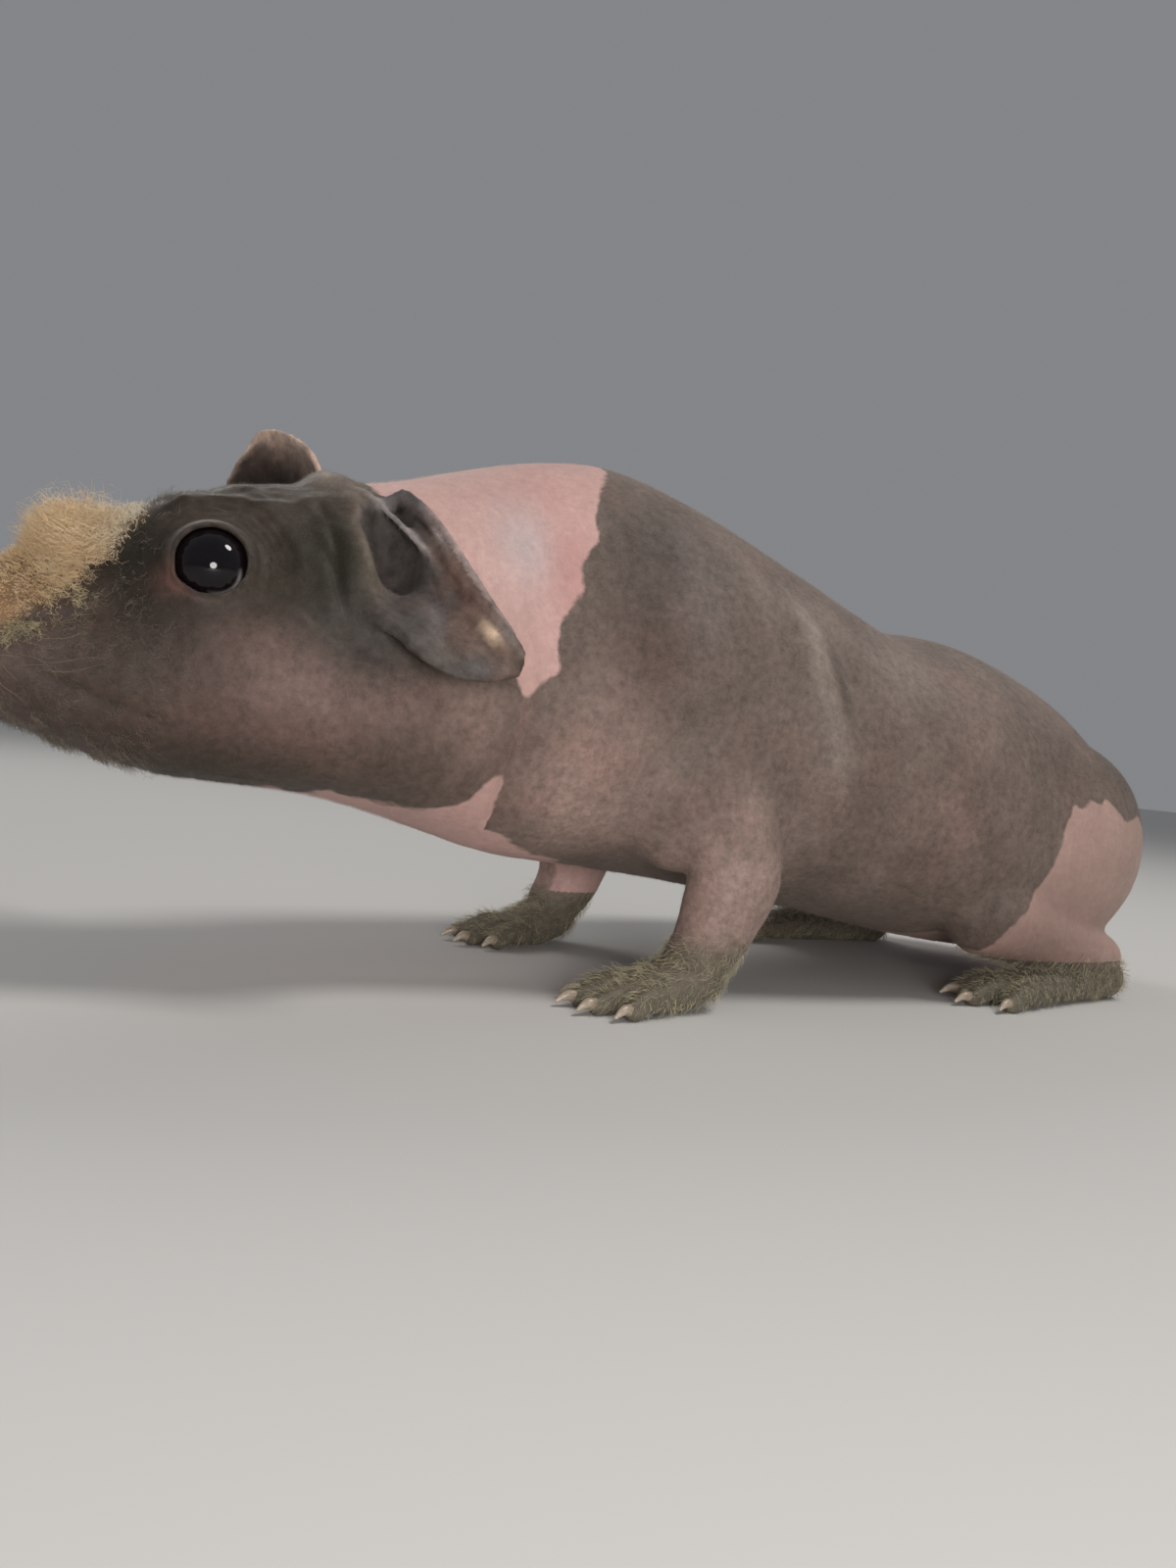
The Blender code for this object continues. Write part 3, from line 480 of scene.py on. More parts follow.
def round_form(centre, radii, turn=None, segments=48, rings=32):
    form = bmesh.new()
    bmesh.ops.create_uvsphere(form, u_segments=segments, v_segments=rings, radius=1.0)
    spin = turn.to_matrix().to_4x4() if turn else Matrix.Identity(4)
    placing = Matrix.Translation(Vector(centre)) @ spin @ Matrix.Diagonal(Vector(radii)).to_4x4()
    bmesh.ops.transform(form, matrix=placing, verts=form.verts)
    mesh = bpy.data.meshes.new("round_form")
    form.to_mesh(mesh)
    form.free()
    return mesh


# Eyes and lids


def eye_turn(side):
    """The rotation that takes +Z to where the eye looks, with +X level and towards the tail."""
    axis = mirrored(EYE_AXIS, side).normalized()
    level = Vector((0.0, 0.0, 1.0)).cross(axis).normalized()
    return Matrix((level, axis.cross(level), axis)).transposed()


def eye_ball(side, radius, *detail):
    return round_form(mirrored(EYE_CENTRE, side), (radius,) * 3, eye_turn(side).to_quaternion(), *detail)


def eye_frame(side):
    """As eye_turn, with the eye's centre, and with +X towards the tail on both sides."""
    tilt = Matrix.Rotation(LID_TILT * side, 4, "Z")
    flip = Matrix.Diagonal((side, 1.0, 1.0, 1.0))
    return Matrix.Translation(mirrored(EYE_CENTRE, side)) @ eye_turn(side).to_4x4() @ tilt @ flip


def eye_point(side, angle, reach, height):
    """A point in front of the eye, at an angle round the gaze and a distance from it."""
    return eye_frame(side) @ Vector((reach * math.cos(angle), reach * math.sin(angle), height))


def from_eye(points, side):
    """The way from an eye's centre to each point, and its length."""
    ways = points - np.array(mirrored(EYE_CENTRE, side))
    return ways, np.linalg.norm(ways, axis=1)


def eye_distance(points):
    """Distance from each point to the nearer eye's centre."""
    return np.minimum(*(from_eye(points, side)[1] for side in SIDES))


def turned_from(angle, middle):
    """How far an angle is turned from another, between half a turn back and half a turn on."""
    return (angle - middle + math.pi) % (2.0 * math.pi) - math.pi


def opening_reach(angle):
    """How far the opening between the lids reaches from the gaze at an angle round it."""
    wide, high = LID_OPENING
    oval = wide * high / math.hypot(high * math.cos(angle), wide * math.sin(angle))
    return oval * (1.0 + CANTHUS_REACH * math.exp(-((turned_from(angle, CANTHUS_AT) / CANTHUS_WIDTH) ** 2)))


def lid_cutter(side):
    """The opening between the lids, as a form that widens from inside the eye to outside the lids."""
    depth = EYE_RADIUS * 2.2
    loops = []
    for share in np.linspace(0.0, 1.0, 12):
        size = LID_CUT[0] + LID_CUT[1] * share
        loops.append([eye_point(side, a, opening_reach(a) * size, 0.4 + depth * share) for a in angles(72)])
    return loft("lid_cutter", loops, *(eye_point(side, 0.0, 0.0, height) for height in (0.3, 0.5 + depth)))


def lid_margin_line(side):
    """Points along the rounded margin of the lids."""
    line = []
    for angle in angles(96):
        reach = opening_reach(angle) * 1.03
        line.append(eye_point(side, angle, reach, math.sqrt(max(LID_MARGIN_AT**2 - reach**2, 1.0))))
    return line


def ring_tube(line, radius, sides=14):
    """A closed ring of even thickness along a closed line."""
    centre = sum(line, Vector()) / len(line)
    points = []
    for before, point, after in zip([line[-1], *line], line, [*line[1:], line[0]]):
        along = (after - before).normalized()
        out = point - centre
        out = (out - along * out.dot(along)).normalized()
        up = along.cross(out)
        points += [point + out * radius * math.cos(a) + up * radius * math.sin(a) for a in angles(sides)]
    faces = [[corner % len(points) for corner in face] for face in ring_faces(len(line) + 1, sides)]
    return mesh_of("ring_form", points, faces)


# Ears


def ear_relief(u, v, side):
    """How far the ear's sheet stands out of its cup, at shares u from the root and v from the lower edge."""
    fold = 0.9 * np.exp(-(((v - 0.70 - 0.10 * u) / 0.07) ** 2)) * np.exp(-(((u - 0.5) / 0.22) ** 2))
    ribs = 0.30 * np.sin(v * 22.0 + 3.0 * u + side) * np.exp(-(((u - 0.55) / 0.4) ** 2)) * np.sin(np.pi * v)
    lumps = 0.35 * np.sin(u * 17.0 + 4.0 * v) * np.sin(v * 9.0 + 1.0) * np.sin(np.pi * u)
    rise, width = EAR_CURL[side]
    curl = rise * np.exp(-(((v - 1.0) / width) ** 2)) * np.sin(np.pi * np.clip(u * 1.05, 0.0, 1.0))
    dents = -0.9 * np.exp(-(((v - 0.45) / 0.14) ** 2) - ((u - 0.42) / 0.13) ** 2)
    return fold + ribs + lumps + curl + dents


def ear_sheet(side, rows, columns):
    """Points of the flap's middle, the way that the cup faces at each, and their shares along and across."""
    shape = EARS[side]
    places = np.linspace(0.0, len(shape["upper"]) - 1.0, rows + 1)
    upper, lower = smooth_rows(shape["upper"], places), smooth_rows(shape["lower"], places)
    out = np.array(shape["faces"])
    out /= np.linalg.norm(out)
    u = np.linspace(0.0, 1.0, rows + 1)[:, None]
    v = np.linspace(0.0, 1.0, columns + 1)[None]
    flat = lower[:, None] + (upper - lower)[:, None] * v[..., None]
    depth = shape["cup"] * (1.0 - u) * (1.0 - (2.0 * v - 1.0) ** 2)
    middle = flat + out * (ear_relief(u, v, side) - depth)[..., None]
    normal = unit(np.cross(np.gradient(middle, axis=0), np.gradient(middle, axis=1)))
    normal *= np.sign((normal * out).sum(2, keepdims=True) + TINY)
    return middle, normal, u, v


def ear_form(side):
    """The cupped flap, thinner towards its edges, with the folds inside its cup."""
    middle, normal, u, v = ear_sheet(side, EAR_ROWS, EAR_COLUMNS)
    edge = np.minimum(np.minimum(v, 1.0 - v) * 6.0, (1.0 - u) * 8.0).clip(0.0, 1.0)
    half = (0.5 * EAR_THICK * (EAR_RIM + (1.0 - EAR_RIM) * edge))[..., None]
    shift = u.size * v.size
    number = np.arange(shift).reshape(u.size, v.size)
    faces = []
    for i in range(EAR_ROWS):
        for j in range(EAR_COLUMNS):
            a, b, c, d = number[i, j], number[i, j + 1], number[i + 1, j + 1], number[i + 1, j]
            faces += [(a, b, c, d), (d + shift, c + shift, b + shift, a + shift)]
    rim = [*number[0], *number[1:, -1], *number[-1, -2::-1], *number[-2:0:-1, 0]]
    faces += [(a, a + shift, b + shift, b) for a, b in zip(rim, rim[1:] + rim[:1])]
    sheets = np.concatenate([middle + normal * half, middle - normal * half])
    return mesh_of("ear_form", sheets.reshape(-1, 3), faces)


def node_box(node):
    low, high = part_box(node)
    return np.array(low) / MM - SHIFT, np.array(high) / MM - SHIFT


def near_node(points, node, margin=2.0):
    low, high = node_box(node)
    return np.all((points > low - margin) & (points < high + margin), axis=1)


def ear_places(points):
    """How far points are an ear's, their shares along and across it, its side, and 1 inside its cup."""
    found = {name: np.zeros(len(points)) for name in ("ear", "along_ear", "across_ear", "ear_side", "in_cup")}
    for side, label in SIDES.items():
        middle, normal, u, v = ear_sheet(side, 3 * EAR_ROWS, 3 * EAR_COLUMNS)
        across, along = np.meshgrid(v[0], u[:, 0])
        middle, normal = middle.reshape(-1, 3), normal.reshape(-1, 3)
        tree = KDTree(len(middle))
        for k, point in enumerate(middle):
            tree.insert(point, k)
        tree.balance()
        for index in np.nonzero(near_node(points, f"ear_{label}"))[0]:
            _, k, away = tree.find(points[index])
            share = min(1.0, max(0.0, (EAR_SKIN_REACH - away) / 0.9))
            if share > 0.0:
                found["ear"][index] = share
                found["along_ear"][index] = along.flat[k]
                found["across_ear"][index] = across.flat[k]
                found["ear_side"][index] = side
                found["in_cup"][index] = float((points[index] - middle[k]) @ normal[k] > -0.1)
    return found


def hollow_size(points):
    """How far points are from the middle of the left ear's hollow, where 1 is its wall."""
    centre, reach = EAR_HOLLOW
    turn = np.array(HOLLOW_TURN.to_matrix())
    return np.linalg.norm((points - np.array(centre)) @ turn / np.array(reach), axis=1)


# Legs


def leg_line(kind, part, side):
    step = STEPS[kind, side]
    rows = LEGS[kind][part]
    points = [(side * x, y + follow * step, z) for (x, y, z), _, follow in rows]
    return points, [radii for _, radii, _ in rows]


def upper_leg(kind, side):
    centre, reach, slant = LEGS[kind]["mass"]
    lean = Vector((0.0, 1.0, 0.0)).rotation_difference(Vector((0.0, 1.0, slant)))
    return [round_form(mirrored(centre, side), reach, lean), tube_form(*leg_line(kind, "limb", side))]


def toe_lines(kind, side):
    """Toes fanned out in front of the sole, as lines of points."""
    leg = LEGS[kind]
    x, y, z = leg["toe_root"]
    base = Vector((side * x, y + STEPS[kind, side], z))
    reach = 0.5 * (len(leg["toe_lengths"]) - 1)
    lines = []
    for k, length in enumerate(leg["toe_lengths"]):
        share = (k - reach) / reach
        heading = math.radians(leg["toe_fan"]) * share * side
        ahead = Vector((math.sin(heading), -math.cos(heading), 0.0))
        start = base + Vector((side * leg["toe_pitch"] * share * reach, TOE_SET_BACK * abs(share), 0.0))
        lines.append([start + ahead * along * length + Vector((0.0, 0.0, rise)) for along, rise in TOE_LINE])
    return lines


def toe_forms(line):
    """A toe with its knuckle and the pad under its end."""
    knuckle = line[1] + Vector((0.0, 0.0, 0.15))
    pad = line[2] + (line[1] - line[2]).normalized() * 0.9 + Vector((0.0, 0.0, -0.05))
    return [
        tube_form(line, TOE_RADII, sides=20, rings_between=6),
        round_form(knuckle, (1.95, 1.9, 1.85), segments=20, rings=14),
        round_form(pad, (1.75, 2.1, 1.45), segments=20, rings=14),
    ]


# Joining and cutting


def place(name, data):
    obj = bpy.data.objects.new(name, data)
    bpy.context.scene.collection.objects.link(obj)
    return obj


def modify(obj, kind, **settings):
    """Adds a modifier with its settings."""
    modifier = obj.modifiers.new(kind.lower(), kind)
    for key, value in settings.items():
        setattr(modifier, key, value)


def apply_modifiers(obj):
    graph = bpy.context.evaluated_depsgraph_get()
    mesh = bpy.data.meshes.new_from_object(obj.evaluated_get(graph))
    obj.modifiers.clear()
    obj.data = mesh


def fused(name, meshes):
    """One closed body made of the meshes."""
    pieces = bpy.data.collections.new(name + "_pieces")
    bpy.context.scene.collection.children.link(pieces)
    base = place(name, meshes[0])
    for k, mesh in enumerate(meshes[1:]):
        pieces.objects.link(bpy.data.objects.new(f"{name}_piece_{k}", mesh))
    settings = {"operation": "UNION", "operand_type": "COLLECTION", "collection": pieces}
    modify(base, "BOOLEAN", solver="MANIFOLD", **settings)
    apply_modifiers(base)
    for piece in list(pieces.objects):
        bpy.data.objects.remove(piece)
    bpy.data.collections.remove(pieces)
    return base


def carve(obj, cutters):
    for mesh in cutters:
        cutter = place("cutter", mesh)
        modify(obj, "BOOLEAN", operation="DIFFERENCE", object=cutter, solver="MANIFOLD")
        apply_modifiers(obj)
        bpy.data.objects.remove(cutter)


def skin_cutters(body_tree):
    """Sockets, openings of the lids, nostrils, the left ear's hollow and slits, and the line of the mouth."""
    cutters = []
    for side in SIDES:
        cutters += [lid_cutter(side), eye_ball(side, EYE_RADIUS + SOCKET_GAP)]
        line = [mirrored(p, side) for p, _ in NOSTRIL]
        cutters.append(tube_form(line, [r for _, r in NOSTRIL], 16, (0.0, 0.0, 1.0), 4))
    cutters.append(round_form(*EAR_HOLLOW, HOLLOW_TURN))
    lips = [(-x, y, z) for x, y, z in reversed(HALF_LIPS[1:])] + HALF_LIPS
    for points, width in ((lips, LIP_GROOVE), (CLEFT, CLEFT_GROOVE)):
        line = [body_tree.find_nearest(Vector(p))[0] for p in points]
        cutters.append(tube_form(line, [(width, width)] * len(line), 14, (0.3, 0.2, 1.0), 6))
    for first, last, radius in EAR_SLITS:
        cutters.append(tube_form([first, last], [(radius, radius)] * 2, 16, rings_between=6))
    return cutters


# Noise and lines on the skin


def noise(points, cell, seed=0):
    """Smooth noise from -1 to 1 at each point, with cells of the given size, which may differ by axis."""
    grid = points / np.asarray(cell, float)
    base = np.floor(grid).astype(np.int64)
    part = eased(grid - base)
    total = np.zeros(len(points))
    for corner in range(8):
        step = np.array([corner & 1, corner >> 1 & 1, corner >> 2 & 1])
        key = (base + step) * np.array([73856093, 19349663, 83492791])
        mix = (key[:, 0] ^ key[:, 1] ^ key[:, 2]) + seed * 7919
        mix = ((mix ^ (mix >> 15)) * 2246822519) & 0xFFFFFFFF
        mix = ((mix ^ (mix >> 13)) * 3266489917) & 0xFFFFFFFF
        value = (mix >> 8 & 0xFFFF) / 32767.5 - 1.0
        total += np.where(step, part, 1.0 - part).prod(1) * value
    return total


def line_distance(points, line, limit):
    """Distance to a line of points, up to a limit, and the share along the line of the nearest place."""
    line = np.asarray(line, float)
    found = np.full(len(points), limit)
    share = np.zeros(len(points))
    near = np.all((points > line.min(0) - limit) & (points < line.max(0) + limit), axis=1)
    close = points[near]
    best, where = found[near], share[near]
    for k, (a, b) in enumerate(zip(line, line[1:])):
        way = b - a
        t = ((close - a) @ way / max(way @ way, 1e-12)).clip(0.0, 1.0)
        away = np.linalg.norm(close - a - t[:, None] * way, axis=1)
        nearer = away < best
        best = np.where(nearer, away, best)
        where = np.where(nearer, (k + t) / (len(line) - 1), where)
    found[near], share[near] = best, where
    return found, share


# Folds and creases: line of points, reach, rise, and the strength of the same fold on the right side. A
# negative rise makes a crease with a soft swelling beside it.
FOLDS = [
    (
        [(27.5, -1, 73), (30.4, 1.7, 66.9), (33.7, 3.5, 57.4), (35.1, 7.1, 47.5), (35.1, 9.3, 38)],
        3.2, 0.75, 0.7,
    ),
    ([(24.8, -5, 76.3), (28.5, -2.9, 70.4), (30.4, 1.7, 66.9)], 3.2, 0.5, 0.7),
    ([(29, 7.5, 70), (33.5, 10, 60), (36, 13.5, 48)], 2.4, -0.55, 0.7),
    ([(22, -12, 80), (29.5, -9, 66), (32.5, -6, 54)], 2.8, -0.3, 1),
    ([(24.6, -52.5, 66), (25.6, -50, 56), (25.5, -49.5, 46), (22.5, -50.5, 36), (16, -50, 29)], 2.3, -0.9, 1),
    ([(26.4, -43.5, 62), (27.2, -41.5, 50), (25.5, -41, 39), (19.5, -42, 29)], 2.6, -0.45, 1),
    ([(24, -57, 44), (23, -59, 38), (19, -62, 32.5), (12, -66, 29.5)], 2, 0.55, 1),
    (
        [
            (9.9, -98.1, 72.2), (12.6, -93.1, 71.8), (11.4, -87.1, 73.8), (10.4, -80.9, 75.9),
            (6.5, -75.8, 78.9),
        ],
        1.2, 0.3, 0.8,
    ),
    ([(22, -88, 60), (23.5, -82, 55), (25, -74, 52)], 1.8, -0.3, 1),
    (
        [(6.5, -76.3, 79.4), (13, -76.8, 75.5), (17.8, -76.9, 71), (20.5, -76.6, 66.2), (22.4, -76.2, 60)],
        1.2, 0.7, 0.8,
    ),
    ([(11, -82, 76), (15.5, -81.5, 72.5), (19.5, -81, 66.5), (22, -80.5, 59)], 1.1, -0.35, 0.8),
    ([(18.5, -83, 68.5), (21, -81, 62), (23.5, -79.5, 55)], 1.3, -0.5, 1),
    ([(13.6, -121, 46), (15.5, -112, 42), (17.5, -102, 38.5)], 2, -0.35, 1),
    ([(11.5, -124, 51.5), (14, -116, 53), (16, -109, 55.5)], 1.4, -0.3, 1),
    ([(36.5, 44, 34), (37.5, 49, 25), (34.5, 50, 15)], 3, -0.8, 1),
    ([(39.5, 38, 42), (38, 42, 28), (32, 40, 15)], 3, -0.3, 1),
    ([(31.5, -20, 40), (34, -16, 30), (35.5, -8, 24)], 2.2, -0.35, 1),
    ([(35.5, -1, 34), (36.5, 3, 26), (33, 4, 18)], 2.4, -0.7, 1),
    ([(35, 6, 30), (35.5, 12, 22), (31, 14, 16)], 2.2, -0.4, 1),
    ([(22, 104, 52), (28, 101, 42), (29, 104, 30)], 2.6, -0.35, 1),
    ([(8, 118.5, 32), (12, 116, 22), (12, 110, 13)], 2.4, -0.6, 1),
    ([(-10, -76, 77.5), (-4, -77.5, 80.5), (4, -77.5, 80.5), (10, -76.5, 77.5)], 3.6, 2.3, 0),
    ([(4, -93, 77), (8, -91, 75.8), (11.5, -90.5, 73.6)], 1.3, 0.6, 0.8),
    ([(1, -102, 74.5), (6, -101.5, 73.6), (10.5, -101, 71.5)], 1.2, 0.5, 0.9),
]
# Creases round the eye: distance from its centre, reach and rise
EYE_CREASES = ((8, 0.36, -0.42), (9, 0.4, -0.38), (10.1, 0.45, -0.34), (11.4, 0.5, -0.26))


def fold_rise(points, tree):
    """How far each point of the skin is raised by the folds."""
    rise = np.zeros(len(points))
    waver = 1.0 + 0.25 * noise(points, 5.0, 11)
    for line, reach, height, right in FOLDS:
        for side, strength in ((LEFT, 1.0), (RIGHT, right)):
            snapped = [tree.find_nearest(Vector(p))[0] for p in side_curve(line, side, 6)]
            away, share = line_distance(points, snapped, 4.0 * reach)
            ends = np.sin(np.pi * share.clip(0.04, 0.96)) ** 0.6
            profile = np.exp(-((away / reach) ** 2))
            if height < 0.0:
                profile = np.exp(-((away / (0.55 * reach)) ** 2))
                profile -= 0.45 * np.exp(-(((away - 1.5 * reach) / (0.9 * reach)) ** 2))
            rise += height * strength * ends * waver * profile
    return rise


def eye_rise(points):
    """Creases round the eyes, strongest above and behind."""
    rise = np.zeros(len(points))
    height_over = points[:, 2] - EYE_CENTRE[2]
    for side in SIDES:
        away = from_eye(points, side)[1] + 0.5 * noise(points, 3.4, 3) + 0.2 * noise(points, 1.4, 4)
        above = np.clip((height_over + 4.0) / 5.0, 0.35, 1.0)
        broken = np.clip(0.75 + 0.7 * noise(points, 2.6, 5), 0.1, 1.3)
        for distance, reach, height in EYE_CREASES:
            rise += height * above * broken * np.exp(-(((away - distance) / reach) ** 2))
        rise += 0.3 * np.exp(-(((away - 12.6) / 1.5) ** 2)) * (height_over > 0.0)
    return rise


def skin_noise_rise(points, normals):
    """Small unevenness: soft folds down the sides, and finer wrinkles on neck, face, brow and feet."""
    y, z = points[:, 1], points[:, 2]
    flank = (1.0 - np.abs(normals[:, 2])) * np.clip((y + 60.0) / 20.0, 0.0, 1.0) * (z > 12.0)
    neck = bump_at(points, (0.0, -50.0, 40.0), (60.0, 9.0, 34.0))
    face = np.clip((-70.0 - y) / 10.0, 0.0, 1.0)
    brow = np.clip((z - 68.0) / 4.0, 0.0, 1.0) * face
    low = np.clip((14.0 - z) / 4.0, 0.0, 1.0)
    wrinkles = (
        (0.30 * flank, (30.0, 9.0, 26.0), 21),
        (0.12 * flank, (12.0, 3.6, 11.0), 22),
        (0.05, (2.6, 1.5, 2.6), 23),
        (0.16 * neck, (9.0, 2.0, 9.0), 24),
        (0.10 * face, (2.6, 1.8, 1.8), 25),
        (0.42 * brow, (4.2, 4.0, 3.0), 27),
        (0.20 * brow, (1.8, 1.9, 1.8), 28),
        (0.10 * low, (2.2, 1.3, 1.6), 26),
    )
    return sum(height * noise(points, cell, seed) for height, cell, seed in wrinkles)


# Markings. Each patch is an outline in the side view, place along the body and height, for the left side and
# for the right one, blended across the back and belly.
PATCHES = {
    "collar": (
        [
            (-29, 104), (-30.5, 91), (-34.6, 86.7), (-37.9, 80.1), (-38.8, 76.2), (-41.4, 72.6),
            (-42.1, 67.7), (-44.5, 63.8), (-45.3, 61.7), (-45.7, 54.4), (-47.8, 51.1), (-50.5, 49.2),
            (-53.5, 53), (-57, 59), (-62, 65), (-68, 69), (-71.5, 76), (-73, 84), (-75, 104),
        ],
        [
            (-29, 104), (-31.5, 90), (-36, 82), (-35, 73), (-39.5, 66), (-39, 58), (-44, 50), (-47, 42),
            (-50.5, 38), (-54, 45), (-58, 56), (-64, 64), (-70, 72), (-73, 84), (-75, 104),
        ],
    ),
    "throat": (
        [
            (-80, 30.6), (-76.1, 31.7), (-69, 30.6), (-62, 30.2), (-56.5, 32.4), (-53.2, 36.6), (-51, 36),
            (-50.6, 32.4), (-49, 28.6), (-43, 25), (-30, 21.5), (-10, 18), (20, 14), (48, 9), (60, 0),
            (0, -5), (-90, -5), (-96, 24), (-88, 31),
        ],
        [
            (-84, 30.6), (-74, 32.8), (-66, 30), (-58, 34), (-52, 33), (-46, 27), (-30, 23.5), (-10, 18.5),
            (20, 15), (46, 10), (60, 0), (0, -5), (-90, -5), (-96, 24), (-88, 30),
        ],
    ),
    "hip": (
        [
            (66.5, 38.6), (68.2, 41.2), (70.4, 40.4), (73, 42.6), (76, 41.6), (78, 43.2), (81.5, 40.6),
            (86, 38.6), (92, 40), (99, 37), (107, 38.5), (115, 35.5), (130, 34), (130, 0), (96, 0), (50, 5),
            (52, 11), (53.6, 16.3), (58.9, 21.3), (63.4, 29.4), (65.4, 35.4),
        ],
        [
            (84, 30), (88, 35), (93, 33), (98, 38), (106, 36), (115, 35.5), (130, 34), (130, 0), (88, 0),
            (84, 10), (80, 18), (82, 25),
        ],
    ),
}
MIDLINE_BLEND = 8.0
BELLY_HALF_WIDTH = 14.0  # behind the throat the pale underside stays between the legs
PATCH_WAVER = 0.5  # how far the patches' edges wander

DARK_SPOT = (13.5, -107.5, 62)  # the darkest skin, before the eye, where the hair is thinnest
# Soft tints: centre, reach, colour, strength, strength on the right side
TINTS = [
    ((0, -94, 60), (70, 39, 70), SLATE, 1, 1),
    ((0, -124, 44), (40, 16, 20), NOSE_BROWN, 0.6, 0.6),
    ((22, -82, 64), (14, 9, 11), OLIVE_SLATE, 1, 1),
    ((22.5, -86, 45), (12, 13, 8), CHEEK_ROSE, 0.85, 0.7),
    ((21.5, -93, 52.5), (7, 6, 4), CHEEK_ROSE, 0.28, 0.3),
    ((20, -101, 42), (8, 6, 5), CHEEK_ROSE, 0.35, 0.3),
    ((25, -72, 46), (10, 8, 6), CHEEK_ROSE, 0.55, 0.45),
    ((25, -58, 42), (12, 8, 10), ROSE_TAUPE, 0.65, 0.6),
    ((22, -76, 35), (12, 10, 4), ROSE_TAUPE, 0.16, 0.14),
    ((25.5, -75.5, 56), (8, 8, 6.5), OLIVE_GREY, 0.85, 0.5),
    # faint painted highlight on the raised fold above the eye
    ((9, -88, 76), (7, 12, 5), FOLD_BAND_HIGHLIGHT, 0.06, 0.06),
    (DARK_SPOT, (10, 7, 8), BEFORE_EYE, 1, 0.9),
    ((12.5, -97, 69.4), (5, 7, 2.4), BROW_LINE, 0.55, 0.5),
    ((17.5, -79, 70), (4, 3.5, 8), OLIVE_SLATE, 0.5, 0.5),
    ((25, -38, 33), (14, 12, 14), FOREARM_ROSE, 0.8, 0.7),
    ((28, -34, 50), (12, 8, 9), ROSE_TAUPE, 0.45, 0.45),
    ((30, -10, 20), (12, 14, 14), FOREARM_ROSE, 1, 0.95),
    ((24, -27, 79), (12, 8, 9), DARK_FLANK, 0.95, 0.85),
    ((27, -33, 63), (10, 7, 8), DARK_FLANK, 0.6, 0.5),
    ((27.5, -30, 72), (10, 8, 7), DARK_FLANK, 0.35, 0.3),
    ((29.5, -29.5, 60.5), (12, 8, 7), MAUVE_TAUPE, 0.75, 0.6),
    # painted highlight on the upper flank
    ((30, -20, 66.5), (8, 6, 7), LILAC_HIGHLIGHT, 0.4, 0.3),
    ((31, -16, 58), (12, 7, 11), DARK_FLANK, 0.3, 0.35),
    ((33, -2, 70), (9, 4, 12), DARK_FLANK, 0.4, 0.3),
    ((36, 0, 29), (10, 6, 9), DARK_FLANK, 0.35, 0.4),
    ((39, 56, 12), (14, 20, 6), DARK_FLANK, 0.5, 0.5),
    ((32, 90, 50), (16, 14, 10), DARK_FLANK, 0.45, 0.45),
    # painted highlight along the raised fold behind the shoulder
    ((33, 4.5, 54), (12, 4, 20), FOLD_BAND_HIGHLIGHT, 0.5, 0.4),
    ((38, 34, 36), (14, 18, 14), ROSE_TAUPE, 0.35, 0.3),
    # BACK_SHEEN entries paint sheen on the upper back and the top of the flank, where the light falls on them
    ((0, 66, 82), (34, 44, 16), BACK_SHEEN, 0.8, 0),
    ((31, 24, 63), (14, 24, 12), BACK_SHEEN, 0.65, 0.55),
    ((0, -6, 98), (30, 30, 16), BACK_SHEEN, 0.55, 0),
    ((0, 20, 2), (24, 60, 12), BELLY_PINK, 0.5, 0),
]
